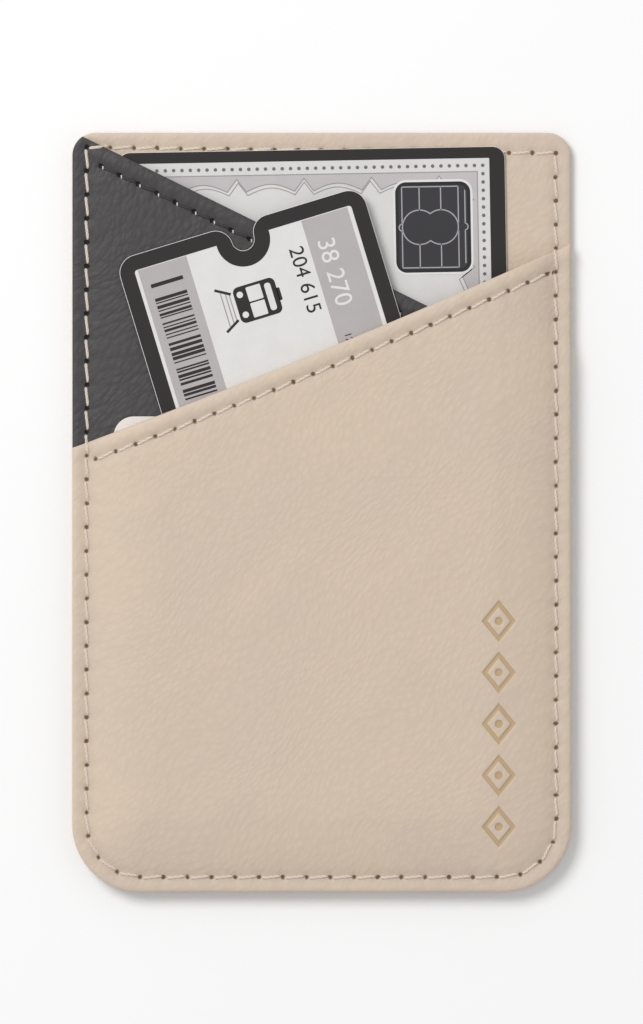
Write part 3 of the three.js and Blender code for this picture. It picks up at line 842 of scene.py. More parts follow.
def sheet_mesh(name, sheet, grid, material):
    """The closed mesh of a sheet, with what its material needs to know of the seams. The underside of a
    sheet that lies on another is coarser."""
    rows, columns = grid.shape[:2]
    x, y = grid[..., 0], grid[..., 1]
    thinnest = 0.05
    pull_below = 0.7
    top, near = sheet.top(x, y)
    bottom = np.minimum(sheet.bottom(x, y), top - thinnest)
    if sheet.mouth is None:
        bottom = bottom + pull_below * seam_marks(x, y, sheet.seams)[0]
    step = 1 if sheet.mouth is None else 2
    under = np.ix_(thinned(rows, step), thinned(columns, step))
    upper_index = np.arange(rows * columns).reshape(rows, columns)
    upper = np.stack([x, y, top], axis=-1).reshape(-1, 3)
    lower = np.stack([x[under], y[under], bottom[under]], axis=-1)
    lower_index = np.arange(lower.shape[0] * lower.shape[1]).reshape(lower.shape[:2]) + rows * columns
    points = np.concatenate([upper, lower.reshape(-1, 3)])
    faces = grid_faces(upper_index, False) + grid_faces(lower_index, True)
    below = dict(zip(upper_index[under].ravel().tolist(), lower_index.ravel().tolist()))
    chain = []
    rim = rim_of(rows, columns).tolist()
    for corner in rim + rim[:1]:
        chain.append(corner)
        if corner in below and len(chain) > 1:
            faces.append(chain[::-1] + [below[chain[0]], below[corner]])
            chain = [corner]
    mesh = mesh_of(name, points, faces, material)

    # The way to the nearest needle hole and how near it is, for the holes' bump and their painted shade.
    holes = np.concatenate([holes for holes, _ in sheet.seams])
    way, far = nearest_hole(x, y, holes)
    reach = 1.2
    marks = np.stack([way[..., 0], way[..., 1], np.clip(reach - far, 0, 1)], axis=-1).reshape(-1, 3)
    no_hole = (9.0, 9.0, 0.0)
    hidden = np.tile(no_hole, (lower_index.size, 1))
    marks = np.concatenate([marks, marks if sheet.mouth is None else hidden])
    layer = mesh.attributes.new("hole", "FLOAT_VECTOR", "POINT")
    layer.data.foreach_set("vector", marks.ravel())
    # How near the seam valley is, which the leather's material uses for painted shade.
    layer = mesh.attributes.new("seam", "FLOAT", "POINT")
    layer.data.foreach_set("value", np.concatenate([near.ravel(), np.zeros(lower_index.size)]))
    return mesh


# Thread


def stitch_line(holes, closed, height, upside_down, radius):
    """The middle line of a thread through its needle holes, diving into each of them."""
    seam = settings("seam_sizes")
    up = (0, 0.03, 0.06, 0.09, 0.12, 0.15, 0.18, 0.22, 0.3, 0.4)
    down = (0.5, 0.6, 0.7, 0.78, 0.82, 0.85, 0.88, 0.91, 0.94, 0.97)
    dive, rest, crown = 3.1, 0.45, 0.06
    starts = holes if closed else holes[:-1]
    ends = np.roll(holes, -1, axis=0) if closed else holes[1:]
    sign = -1 if upside_down else 1
    line = []
    for a, b in zip(starts, ends):
        run = b - a
        side = np.array([-run[1], run[0]]) / np.hypot(*run)
        for share in up + down:
            from_hole = min(share, 1 - share)
            off = seam.slant * math.sin(math.pi * (share - 0.5)) * smooth(0, 0.12, from_hole)
            x, y = a + run * share + side * off
            sunk = 1 - float(smooth(0.05, 0.2, from_hole))
            bow = crown * math.sin(math.pi * share)
            z = float(height(x, y)) - sign * (sunk * dive * radius + rest * radius) + sign * bow
            line.append((x, y, z))
    if not closed:
        x, y = holes[-1]
        line.append((x, y, float(height(x, y)) - sign * dive * radius))
    return np.array(line)


def tube(line, closed, radius, sides=12, plies=3, turn=2.3):
    """Points, faces and depth of ply of a tube along a line, with the plies of a twisted thread. The
    plies go round once in each turn, a length of thread."""
    ply_rise = 0.13
    count = len(line)
    ahead = np.roll(line, -1, axis=0)
    behind = np.roll(line, 1, axis=0)
    if not closed:
        ahead[-1] = line[-1]
        behind[0] = line[0]
    forward = ahead - behind
    forward /= np.linalg.norm(forward, axis=1)[:, None]
    across = np.stack([-forward[:, 1], forward[:, 0], np.zeros(count)], axis=1)
    across /= np.linalg.norm(across, axis=1)[:, None]
    rising = np.cross(forward, across)
    gone = np.concatenate([[0], np.cumsum(np.linalg.norm(np.diff(line, axis=0), axis=1))])
    twist = gone / turn * 2 * np.pi
    angles = np.arange(sides) * 2 * np.pi / sides
    lobes = 1 + ply_rise * np.cos(plies * (angles[None] - twist[:, None]))
    reach = radius * lobes
    circle = across[:, None] * (np.cos(angles)[None] * reach)[..., None]
    circle += rising[:, None] * (np.sin(angles)[None] * reach)[..., None]
    points = (line[:, None] + circle).reshape(-1, 3)
    index = np.arange(count * sides).reshape(count, sides)
    here = index if closed else index[:-1]
    there = np.roll(index, -1, axis=0) if closed else index[1:]
    around = np.stack([here, there, np.roll(there, -1, axis=1), np.roll(here, -1, axis=1)], axis=-1)
    faces = around.reshape(-1, 4)[:, ::-1].tolist()
    if not closed:
        faces.append(index[0][::-1].tolist())
        faces.append(index[-1].tolist())
    return points, faces, ((lobes - 1) / (2 * ply_rise) + 0.5).ravel()


def thread_mesh(name, tubes, material):
    """One mesh of tubes of thread."""
    points, faces, plies = [], [], []
    for some_points, some_faces, some_plies in tubes:
        first = sum(len(p) for p in points)
        points.append(some_points)
        plies.append(some_plies)
        faces += [[first + i for i in face] for face in some_faces]
    mesh = mesh_of(name, np.concatenate(points), faces, material)
    layer = mesh.attributes.new("ply", "FLOAT", "POINT")
    layer.data.foreach_set("value", np.concatenate(plies))
    return mesh


def bobbin_loops(holes, height):
    """The little loops of bobbin thread that the needle thread pulls up beside its holes."""
    after_hole, half_along = 0.36, 0.1
    beside, half_across = 0.1, 0.16
    sunk, rise, drop = 0.07, 0.1, 0.12
    radius, turn = 0.105, 1.4
    loops = []
    for hole, after in zip(holes[:-1], holes[1:]):
        run = (after - hole) / np.hypot(*(after - hole))
        side = np.array([-run[1], run[0]])
        line = []
        for t in np.linspace(-1, 1, 7):
            x, y = hole + run * (after_hole + half_along * t) - side * (beside + half_across * t)
            z = float(height(x, y)) - sunk + rise * (1 - t * t) - drop * abs(t)
            line.append((x, y, z))
        loops.append(tube(np.array(line), False, radius, 8, 2, turn))
    return loops


# Finishes


def pressed_lozenges(finish, point):
    """Where the ornament is pressed in: the outlines of a column of lozenges and a dot in each."""
    sizes = settings("ornament_sizes")
    x, y, _ = finish.split(point)
    across = abs(x - (HALF_WIDTH - sizes.from_right))
    along = abs(y - (sizes.from_bottom - HALF_HEIGHT))
    within = along.folded(sizes.pitch / 2)
    size = across * (2 / sizes.width) + within * (2 / sizes.height)
    blur, dot_blur, end_blur = 0.025, 0.04, 0.01
    ring = size.ease(1 - blur, 1 + blur, 1.0, 0.0) * size.ease(1 - sizes.line - blur, 1 - sizes.line + blur)
    middle = (across * across + within * within).power(0.5)
    dot = middle.ease(sizes.dot - dot_blur, sizes.dot + dot_blur, 1.0, 0.0)
    half = sizes.count * sizes.pitch / 2
    inside = along.ease(half - end_blur, half + end_blur, 1.0, 0.0)
    return ring.larger(dot) * inside


def leatherette(name, shown, hole_shade_shown, grain, lighter, relief, pressed=None):
    """Grained leatherette: fine wavy creases that run one way, pebbles, pores and needle holes. Its colour
    is lighter on the raised grain, partly grain tone and partly painted highlight, with painted shade in the
    seam valleys and in the needle holes.
    """
    finish = Finish(name)
    point = finish.place()
    grain_angle = math.radians(52)
    bent = finish.bent(point, 0.06, 7.0)
    run = finish.turned(bent, grain_angle, (1.45, 0.8, 1.0))
    creases = finish.noise(run, 1.0 * grain, 2.0, 0.5, 0.5)
    pebbles = finish.cells(finish.turned(bent, grain_angle, (1.5, 0.9, 1.0)), 1.35 * grain, 0.35)
    pores = finish.noise(point, 5.0 * grain, 2.0)
    clouds = finish.noise(point, 0.08, 2.0)
    height = creases * 0.3 + (1 - pebbles) * 0.55 + pores * 0.15

    way = finish.value("ShaderNodeAttribute", {"attribute_name": "hole"}, output=1)
    across, up, near = finish.split(way)
    frayed = finish.noise(point, 1.9, 1.0)
    far = (across * across + up * up).power(0.5) + (frayed - 0.5) * 0.3
    radius = settings("seam_sizes").hole
    hole = far.ease(radius - 0.14, radius + 0.1, 1.0, 0.0) * near.ease(0.64, 0.8)
    seam = finish.attribute("seam")

    warm = tuple(c * share for c, share in zip(shade(shown, 1.025), (1.0, 1.0, 0.975)))
    cool = tuple(c * share for c, share in zip(shade(shown, 0.99), (1.0, 0.99, 1.02)))
    tone = finish.blend(clouds.ease(0.35, 0.65), cool, warm)
    # Partly grain tone and partly painted highlight: the raised grain is painted lighter, most of all on the
    # dark sheet.
    grain_tone_and_highlight = finish.blend(height.ease(0.4, 0.72), shade(shown, 1 - lighter), shade(shown, 1 + lighter))
    body = finish.blend(0.5, tone, grain_tone_and_highlight)
    # Painted shade: the leather is painted darker in the seam valleys.
    body = finish.blend(seam * 0.3, body, shade(shown, 0.78))
    relieved = height
    if pressed:
        mask = pressed_lozenges(finish, point)
        body = finish.blend(mask * 0.9, body, linear(pressed))
        relieved = height * (1 - mask * 0.7) - mask * 0.35
    # Painted shade: the needle holes are painted dark.
    base = finish.blend(hole * 0.94, body, linear(hole_shade_shown))
    roughness = 0.52 + (height - 0.5) * 0.3 + hole * 0.3
    finish.surface(Base_Color=base, Roughness=roughness, Specular_IOR_Level=0.3)
    finish.bump(relieved - hole * 1.6, 0.15, relief)
    return finish.material


def thread_finish(name, shown):
    """Twisted thread: painted shade between its plies, with fine fibres across them."""
    finish = Finish(name)
    point = finish.place()
    fibres = finish.noise(finish.turned(point, math.radians(40), (1.0, 5.0, 1.0)), 5.0, 2.0)
    ply = finish.attribute("ply")
    depth = ply.ease(0.1, 0.8)
    # Painted shade: the thread is painted darker in the grooves between its plies.
    base = finish.blend(depth, shade(shown, 0.62), shade(shown, 1.04))
    base = finish.blend(fibres.ease(0.3, 0.7, 0.0, 0.35), base, shade(shown, 0.85))
    finish.surface(Base_Color=base, Roughness=0.62 + (fibres - 0.5) * 0.2, Specular_IOR_Level=0.3)
    finish.bump(fibres, 0.03, 0.6)
    return finish.material


def paper_finish(name, shown, rough, shine=0.3):
    """Card or paper: slightly cloudy, with fine fibres."""
    finish = Finish(name)
    point = finish.place()
    clouds = finish.noise(point, 0.35, 3.0)
    fibres = finish.noise(finish.turned(point, 0.3, (1.0, 3.0, 1.0)), 6.0, 3.0)
    base = finish.blend(clouds.ease(0.3, 0.7), shade(shown, 0.975), shade(shown, 1.02))
    base = finish.blend(fibres.ease(0.35, 0.7, 0.0, 0.3), base, shade(shown, 0.95))
    finish.surface(Base_Color=base, Roughness=rough + (fibres - 0.5) * 0.14, Specular_IOR_Level=shine)
    finish.bump(fibres, 0.012, 0.5)
    return finish.material


# Cards and print


class Place:
    """Where a card lies: its upper left corner, how it is turned, and the height of its face."""

    def __init__(self, corner, turn, face):
        self.matrix = Matrix.Translation((corner[0], corner[1], 0)) @ Matrix.Rotation(turn, 4, "Z")
        self.face = face

    def move(self, points, z):
        """Points given to the right and down from the corner, in the pocket's frame at a height."""
        return [(*(self.matrix @ Vector((u, -v, 0)))[:2], z) for u, v in points]


def card_place():
    sizes = settings("card_sizes")
    turn = sizes.card_turn
    middle = Vector((sizes.card_shift, HALF_HEIGHT - sizes.card_drop - sizes.card_height / 2, 0))
    to_corner = Vector((-sizes.card_width / 2, sizes.card_height / 2, 0))
    corner = middle + Matrix.Rotation(turn, 3, "Z") @ to_corner
    return Place(corner, turn, float(node_box("bank_card")[1][2]))


def ticket_place():
    sizes = settings("card_sizes")
    corner = (sizes.ticket_left - HALF_WIDTH, HALF_HEIGHT - sizes.ticket_top)
    return Place(corner, sizes.ticket_turn, float(node_box("paper_ticket")[1][2]))


def rounded(left, top, right, bottom, radius, steps=8):
    """A rounded rectangle, to the right and down from a card's corner."""
    radius = max(radius, 0.01)
    points = arc((right - radius, bottom - radius), radius, 0, 90, steps)
    points += arc((left + radius, bottom - radius), radius, 90, 180, steps)
    points += arc((left + radius, top + radius), radius, 180, 270, steps)
    points += arc((right - radius, top + radius), radius, 270, 360, steps)
    return points


def disc(u, v, radius, steps=16):
    return arc((u, v), radius, 0, 360, steps)[:-1]


def bar(u, v, width, height):
    """A bar from its upper left corner."""
    return [(u, v), (u + width, v), (u + width, v + height), (u, v + height)]


def stroke(points, width, closed=False):
    """The outlines of a line of one width: one round an open line, two of a closed one."""
    least_square = 0.35
    points = np.array(points, dtype=float)
    ahead = np.roll(points, -1, axis=0)
    behind = np.roll(points, 1, axis=0)
    if not closed:
        ahead[-1] = 2 * points[-1] - points[-2]
        behind[0] = 2 * points[0] - points[1]
    run_in = points - behind
    run_out = ahead - points
    run_in /= np.hypot(run_in[:, 0], run_in[:, 1])[:, None]
    run_out /= np.hypot(run_out[:, 0], run_out[:, 1])[:, None]
    along = run_in + run_out
    along /= np.hypot(along[:, 0], along[:, 1])[:, None]
    square = np.maximum((along * run_in).sum(axis=1), least_square)[:, None]
    side = np.stack([-along[:, 1], along[:, 0]], axis=1) * width / 2 / square
    if closed:
        return [(points + side).tolist(), (points - side).tolist()]
    return [(points + side).tolist() + (points - side).tolist()[::-1]]


def ticket_outline(inset=0.0, band=0.0):
    """The ticket's outline drawn in by an inset. With a band the notch is a plain round of that radius."""
    sizes = settings("card_sizes")
    width, height = sizes.ticket_width, sizes.ticket_height
    radius = max(sizes.ticket_corner - inset, 0.05)
    middle = width / 2
    points = arc((inset + radius, inset + radius), radius, 180, 270, 8)
    if band:
        half = math.sqrt(max(band**2 - (sizes.notch_depth - inset) ** 2, 0))
        start = math.degrees(math.atan2(inset - sizes.notch_depth, -half)) % 360
        points += arc((middle, sizes.notch_depth), band, start, 180 - start, 24)
    else:
        lip = sizes.notch_lip - inset
        notch = sizes.notch + inset
        rise = sizes.notch_lip - sizes.notch_depth
        offset = math.sqrt((sizes.notch_lip + sizes.notch) ** 2 - rise**2)
        meet = math.degrees(math.atan2(rise, offset))
        points += arc((middle - offset, sizes.notch_lip), lip, 270, 360 - meet, 12)[:-1]
        points += arc((middle, sizes.notch_depth), notch, 180 - meet, meet, 16)[:-1]
        points += arc((middle + offset, sizes.notch_lip), lip, 180 + meet, 270, 12)
    points += arc((width - inset - radius, inset + radius), radius, 270, 360, 8)
    points += arc((width - inset - radius, height - inset - radius), radius, 0, 90, 8)
    points += arc((inset + radius, height - inset - radius), radius, 90, 180, 8)
    return points


def filled(outlines):
    """Triangles that fill outlines, of which inner ones are holes, with the edges round them."""
    points, edges = [], []
    for outline in outlines:
        first = len(points)
        points += [Vector(p) for p in outline]
        edges += [(first + i, first + (i + 1) % len(outline)) for i in range(len(outline))]
    made, _, triangles, *_ = delaunay_2d_cdt(points, edges, [], 0, 1e-5)
    made = np.array([p[:] for p in made])
    triangles = np.array(triangles)
    starts = np.array([points[a][:] for a, _ in edges])
    ends = np.array([points[b][:] for _, b in edges])
    middles = made[triangles].mean(axis=1)
    rising = (starts[:, 1] > middles[:, None, 1]) != (ends[:, 1] > middles[:, None, 1])
    run = ends - starts
    slope = run[:, 0] / np.where(run[:, 1] == 0, 1, run[:, 1])
    crossing = starts[:, 0] + (middles[:, None, 1] - starts[:, 1]) * slope
    inside = (rising & (middles[:, None, 0] < crossing)).sum(axis=1) % 2 == 1
    kept = triangles[inside]
    sides = np.concatenate([kept[:, [0, 1]], kept[:, [1, 2]], kept[:, [2, 0]]]).tolist()
    present = {tuple(side) for side in sides}
    return made, kept.tolist(), [side for side in sides if (side[1], side[0]) not in present]


def flat_piece(name, groups, place, base, thickness, material):
    """A flat piece of one thickness. Each group of outlines is filled by itself."""
    points, faces = [], []
    for group in groups:
        moved = [[p[:2] for p in place.move(outline, 0)] for outline in group]
        made, triangles, rim = filled(moved)
        low = len(points)
        high = low + len(made)
        points += [(*p, base) for p in made] + [(*p, base + thickness) for p in made]
        faces += [[high + i for i in t] for t in triangles]
        faces += [[low + i for i in t[::-1]] for t in triangles]
        faces += [[low + a, low + b, high + b, high + a] for a, b in rim]
    return mesh_of(name, points, faces, material, False)


def sheet_piece(name, outline_at, place, base, top, round_off, material):
    """A flat sheet with its edges rubbed round. outline_at gives its outline drawn in by an inset."""
    levels = ((round_off, base), (0, base + round_off), (0, top - round_off), (round_off, top))
    rings = [place.move(outline_at(inset), z) for inset, z in levels]
    count = len(rings[0])
    faces = []
    for k in range(3):
        for i in range(count):
            j = (i + 1) % count
            faces.append([k * count + j, k * count + i, (k + 1) * count + i, (k + 1) * count + j])
    faces.append(list(range(count)))
    faces.append(list(range(4 * count - 1, 3 * count - 1, -1)))
    return mesh_of(name, sum(rings, []), faces, material, False)


def print_layer(name, groups, place, material, layer=0):
    """A layer of print on a card's face."""
    ink = settings("card_sizes").ink
    gap = 0.001
    base = place.face + layer * ink + gap
    return new_object(name, flat_piece(name, groups, place, base, ink, material))


def number_outlines(text, size, weight):
    """The outlines of a plain number, to the right and down from its middle."""
    curve = bpy.data.curves.new("number", "FONT")
    curve.body = text
    curve.size = size
    curve.align_x = "CENTER"
    curve.align_y = "CENTER"
    curve.offset = weight
    curve.fill_mode = "NONE"
    maker = bpy.data.objects.new("number", curve)
    bpy.context.scene.collection.objects.link(maker)
    mesh = bpy.data.meshes.new_from_object(maker.evaluated_get(bpy.context.evaluated_depsgraph_get()))
    bpy.data.objects.remove(maker)
    bpy.data.curves.remove(curve)
    after = {}
    for edge in mesh.edges:
        a, b = edge.vertices
        after.setdefault(a, []).append(b)
        after.setdefault(b, []).append(a)
    outlines = []
    left = set(after)
    while left:
        here = min(left)
        outline = []
        while here in left:
            left.remove(here)
            outline.append((mesh.vertices[here].co.x, -mesh.vertices[here].co.y))
            here = next((there for there in after[here] if there in left), here)
        outlines.append(outline)
    bpy.data.meshes.remove(mesh)
    return outlines


def number_layer(name, text, place, at, size, turn, material, layer=0, weight=0.0):
    """A plain number, with its middle at a place on the card."""
    c, s = math.cos(turn), math.sin(turn)
    turned = [[(at[0] + u * c + v * s, at[1] - u * s + v * c) for u, v in outline]
              for outline in number_outlines(text, size, weight)]
    return print_layer(name, [turned], place, material, layer)


# Operators


class MakeLeather(bpy.types.Operator):
    """Makes the three sewn sheets of leatherette"""

    bl_idname = "card_pocket.make_leather"
    bl_label = "Leatherette sheets"

    def execute(self, context):
        colours = settings("pocket_colours")
        sizes = settings("pocket_sizes")
        # In each tuple the second colour is the painted shade of the needle holes, and the fourth number is
        # how much lighter the raised grain is painted, partly grain tone and partly painted highlight.
        pale = (colours.beige, colours.beige_hole, 1.1, 0.035, 0.6)
        dark = (colours.charcoal, colours.charcoal_hole, 1.05, 0.14, 1.0)
        beige = leatherette("beige_leatherette", *pale)
        pressed = leatherette("beige_pressed_leatherette", *pale, colours.foil)
        charcoal = leatherette("charcoal_leatherette", *dark)
        back, inner, front = sheets()
        inner_start = math.degrees(sizes.inner_mouth_angle)
        inner_grid = sheet_grid(inner.mouth, inner_start)
        front_grid = sheet_grid(front.mouth, fine_at=ornament_box())
        made = [
            ("back_panel", back, sheet_grid(None), beige, "beige_leatherette"),
            ("inner_pocket_panel", inner, inner_grid, charcoal, "charcoal_leatherette"),
            ("front_pocket_panel", front, front_grid, pressed, "beige_leatherette"),
        ]
        for node, sheet, grid, material, slot in made:
            name = node + "_leather"
            new_object(name, sheet_mesh(name, sheet, grid, material), node)
        return {"FINISHED"}


class MakeThread(bpy.types.Operator):
    """Makes the needle and bobbin threads of the seams"""

    bl_idname = "card_pocket.make_thread"
    bl_label = "Thread"

    def execute(self, context):
        colours = settings("pocket_colours")
        seam = settings("seam_sizes")
        back, inner, front = sheets()

        def on(sheet):
            sunk = 0.6 * seam.valley
            return lambda x, y: sheet.calm_top(x, y) - sunk

        def outermost(x, y):
            sheet = front if front.covers(x, y) else inner if inner.covers(x, y) else back
            return on(sheet)(x, y)

        cream = thread_finish("cream_thread", colours.cream)
        grey = thread_finish("grey_thread", colours.grey_thread)
        pale = thread_finish("pale_thread", colours.pale)
        edge_holes = edge_seam()
        inner_holes = mouth_seam(inner.mouth)
        front_holes = mouth_seam(front.mouth)
        needle, bobbin = seam.thread, seam.bobbin

        def back_face(x, y):
            return BACK_BASE

        threads = [
            ("edge_seam_thread", edge_holes, True, outermost, needle, cream, "cream_thread"),
            ("edge_seam_bobbin_thread", edge_holes, True, back_face, bobbin, pale, "cream_thread"),
            ("inner_mouth_thread", inner_holes, False, on(inner), needle, grey, "grey_thread"),
            ("front_mouth_thread", front_holes, False, on(front), needle, cream, "cream_thread"),
        ]
        for node, holes, closed, height, radius, material, slot in threads:
            under = node == "edge_seam_bobbin_thread"
            line = stitch_line(holes, closed, height, under, radius)
            name = node + "_stitches"
            new_object(name, thread_mesh(name, [tube(line, closed, radius)], material), node)
        loops = bobbin_loops(inner_holes, inner.calm_top)
        new_object("inner_mouth_loops", thread_mesh("inner_mouth_loops", loops, pale))
        return {"FINISHED"}


class MakeBankCard(bpy.types.Operator):
    """Makes the bank card and its print"""

    bl_idname = "card_pocket.make_bank_card"
    bl_label = "Bank card"

    def execute(self, context):
        sizes = settings("card_sizes")
        colours = settings("pocket_colours")
        place = card_place()
        low, high = node_box("bank_card")
        width, height = sizes.card_width, sizes.card_height
        field = paper_finish("card_field", colours.card_field, 0.45)

        def outline_at(inset):
            return rounded(inset, inset, width - inset, height - inset, sizes.card_corner - inset)

        mesh = sheet_piece("bank_card_body", outline_at, place, low[2], high[2], 0.05, field)
        new_object("bank_card_body", mesh, "bank_card")

        black = paper_finish("black_ink", colours.black_ink, 0.5)
        band = paper_finish("card_band", colours.card_band, 0.5)
        line = paper_finish("card_line", colours.card_line, 0.5)
        dots = paper_finish("card_dot", colours.card_dot, 0.5)
        top, side = 1.5, 2.05
        border = [outline_at(0.06), rounded(side, top, width - side, height - top, 0.15)]
        print_layer("bank_card_border", [border], place, black)

        line_u, line_v = side + 1.6, top + 1.75
        frame_line = bar(line_u, line_v, width - 2 * line_u, height - 2 * line_v)
        edge = self.scallops(line_u, line_v, width, height)
        print_layer("bank_card_scallops", [[frame_line, edge]], place, band)
        middle = np.array([width / 2, height / 2])
        shrunk = [tuple(middle + (np.array(p) - middle) * (middle - 0.55) / middle) for p in edge]
        lines = [stroke(frame_line, 0.13, True), stroke(edge, 0.13, True), stroke(shrunk, 0.11, True)]
        print_layer("bank_card_lines", lines, place, line, 1)

        dot_pitch, dot_radius = 1.09, 0.235
        dot_top, dot_side = top + 0.95, side + 0.85
        across = np.arange(dot_side, width - side, dot_pitch)
        down = np.arange(dot_top + dot_pitch, height - top, dot_pitch)
        spots = [disc(u, dot_top, dot_radius, 10) for u in across]
        spots += [disc(width - dot_side, v, dot_radius, 10) for v in down]
        spots += [disc(dot_side, v, dot_radius, 10) for v in down]
        print_layer("bank_card_dots", [spots], place, dots, 1)
        return {"FINISHED"}

    def scallops(self, line_u, line_v, width, height):
        """The inner edge of the ornamental band: shallow arches between small points, on all four sides."""
        pitch, foot, depth = 8.8, 1.25, 2.15
        point_depth, arch = 0.5, 0.95
        first_wide, first_high = 3.0, 3.65

        def run(first, whole):
            points = []
            start = first
            while start + pitch < whole - foot:
                points.append((start, point_depth))
                points += [(start + foot + (pitch - 2 * foot) * t, depth - arch * math.sin(math.pi * t))
                           for t in np.linspace(0, 1, 13)]
                start += pitch
            points.append((start, point_depth))
            if start + foot < whole - depth:
                points.append((start + foot, depth))
            return points

        wide = width - 2 * line_u
        high = height - 2 * line_v
        left, top = line_u, line_v
        right, bottom = width - line_u, height - line_v
        edge = [(left + depth, top + depth)]
        along_top, along_side = run(first_wide, wide), run(first_high, high)
        edge += [(left + s, top + d) for s, d in along_top] + [(right - depth, top + depth)]
        edge += [(right - d, top + s) for s, d in along_side] + [(right - depth, bottom - depth)]
        edge += [(right - s, bottom - d) for s, d in along_top] + [(left + depth, bottom - depth)]
        edge += [(left + d, bottom - s) for s, d in along_side]
        return edge


class MakeChip(bpy.types.Operator):
    """Makes the chip printed on the bank card"""

    bl_idname = "card_pocket.make_chip"
    bl_label = "Chip"

    def execute(self, context):
        colours = settings("pocket_colours")
        place = card_place()
        left, top, width, height = 36.1, 4.5, 9.8, 11.8
        right, bottom = left + width, top + height
        plates = (
            ("chip_halo", seen(228, 226, 226), 0.5, 0.3, -0.3, 1.7),
            ("chip_edge", colours.chip_edge, 0.35, 0.5, 0.0, 1.4),
            ("chip_contacts", colours.chip, 0.35, 0.5, 0.42, 1.0),
        )
        for layer, (name, shown, rough, shine, inset, radius) in enumerate(plates, 2):
            finish = paper_finish(name, shown, rough, shine)
            plate = rounded(left + inset, top + inset, right - inset, bottom - inset, radius)
            print_layer(name, [[plate]], place, finish, layer)

        line = paper_finish("chip_lines", colours.chip_line, 0.35, 0.5)
        fine, gap, bend = 0.15, 0.45, 0.46
        u1, u2, u3, u4, u5 = left + 0.85, left + 3.15, left + 5.95, right - 1.6, right - 0.72
        v1, v2 = top + 0.62, bottom - 0.62
        middle = (v1 + v2) / 2
        lobe = 2.25
        half = (u3 - u2) / 2
        centre = (u1 + u4) / 2
        meet = math.degrees(math.acos(half / lobe))
        blob = arc((centre + half, middle), lobe, 180 + meet, 540 - meet, 28)[:-1]
        blob += arc((centre - half, middle), lobe, meet, 360 - meet, 28)[:-1]
        reach = lobe - 0.1

        def broken(u, shorter, room):
            """An upright line with room left in its middle."""
            upper = stroke([(u, v1 + shorter), (u, middle - room)], fine)
            lower = stroke([(u, middle + room), (u, v2 - shorter)], fine)
            return [upper, lower]

        lines = [stroke(blob, fine, True)]
        lines += broken(u1, 0, gap) + broken(u4, 0, gap) + broken(u5, 0.5, gap)
        lines += [stroke(arc((u5 - 0.1, middle), bend, -78, 78, 10), fine)]
        lines += [stroke(arc((u1 + 0.05, middle), bend, 102, 258, 10), fine)]
        lines += [stroke([(u1, v1), (u4, v1)], fine), stroke([(u1, v2), (u4, v2)], fine)]
        lines += broken(centre - half, 0, reach) + broken(centre + half, 0, reach)
        print_layer("chip_lines", lines, place, line, 5)
        return {"FINISHED"}


class MakeTicket(bpy.types.Operator):
    """Makes the ticket with its notch and its print"""

    bl_idname = "card_pocket.make_ticket"
    bl_label = "Ticket"

    def execute(self, context):
        sizes = settings("card_sizes")
        colours = settings("pocket_colours")
        place = ticket_place()
        low, high = node_box("paper_ticket")
        height = sizes.ticket_height
        slot = "ticket_print"
        field = paper_finish("ticket_field", colours.ticket_field, 0.5)
        mesh = sheet_piece("ticket_body", ticket_outline, place, low[2], high[2], 0.05, field)
        new_object("ticket_body", mesh, "paper_ticket")

        black = bpy.data.materials["black_ink"]
        border, notch_border = 2.0, 3.55
        ring = [ticket_outline(0.07), ticket_outline(border, notch_border)]
        print_layer("ticket_border", [ring], place, black)
        grey = paper_finish("ticket_band", colours.ticket_band, 0.55)
        band_top, band_height = border + 0.1, height - 2 * border - 0.2
        left_band = bar(2.45, band_top, 6.6, band_height)
        right_band = bar(24.7, band_top, 6.25, band_height)
        print_layer("ticket_bands", [[left_band, right_band]], place, grey)

        rng = np.random.default_rng(settings("stage_settings").seed + 3)
        bar_left, bar_width = 3.5, 4.35
        bars = [bar(bar_left, 4.35, bar_width, 0.5)]
        v = 6.3
        while v < height - 4:
            for _ in range(int(rng.integers(3, 7))):
                thick = float(rng.choice([0.16, 0.22, 0.34, 0.42]))
                bars.append(bar(bar_left, v, bar_width, thick))
                v += thick + float(rng.choice([0.14, 0.2, 0.28]))
            v += 0.45
        print_layer("ticket_bars", [bars], place, black, 1)
        self.pictogram(place, black, slot)

        pale = paper_finish("ticket_pale_print", seen(228, 226, 224), 0.55)
        down = math.radians(-90)
        number_layer("ticket_number", "204 615", place, (22.9, 9.6), 2.75, down, black, 0, 0.07)
        number_layer("ticket_band_number", "38 270", place, (26.9, 9.7), 3.3, down, pale, 1, 0.1)
        number_layer("ticket_small_number", "12", place, (26.2, 18.4), 1.3, down, black, 1, 0.02)
        return {"FINISHED"}

    def pictogram(self, place, ink, slot):
        """A plain tram seen from the front on its track, with its roof to the ticket's right."""
        middle = 10.35
        body = rounded(13.45, middle - 2.4, 19.1, middle + 2.4, 0.75)
        holes = [disc(14.25, middle - 1.35, 0.43), disc(14.25, middle + 1.35, 0.43)]
        holes.append(rounded(15.2, middle - 2.05, 17.15, middle - 0.1, 0.14, 3))
        holes.append(rounded(15.2, middle + 0.1, 17.15, middle + 2.05, 0.14, 3))
        holes.append(rounded(17.6, middle - 1.85, 18.45, middle + 1.85, 0.36, 4))
        roof = rounded(19.0, middle - 0.85, 19.45, middle + 0.85, 0.15, 3)
        print_layer("ticket_tram", [[body, *holes], [roof]], place, ink)
        rails = []
        for side in (-1, 1):
            near, far = middle + side * 1.75, middle + side * 2.85
            rails.append(stroke([(13.15, near), (11.25, far)], 0.34))
        print_layer("ticket_rails", rails, place, ink)
        sleepers = []
        for u, half in ((12.85, 1.7), (12.4, 1.95), (11.8, 2.25)):
            sleepers.append([bar(u, middle - half, 0.14, 2 * half)])
        grey = bpy.data.materials["card_line"]
        print_layer("ticket_sleepers", sleepers, place, grey)


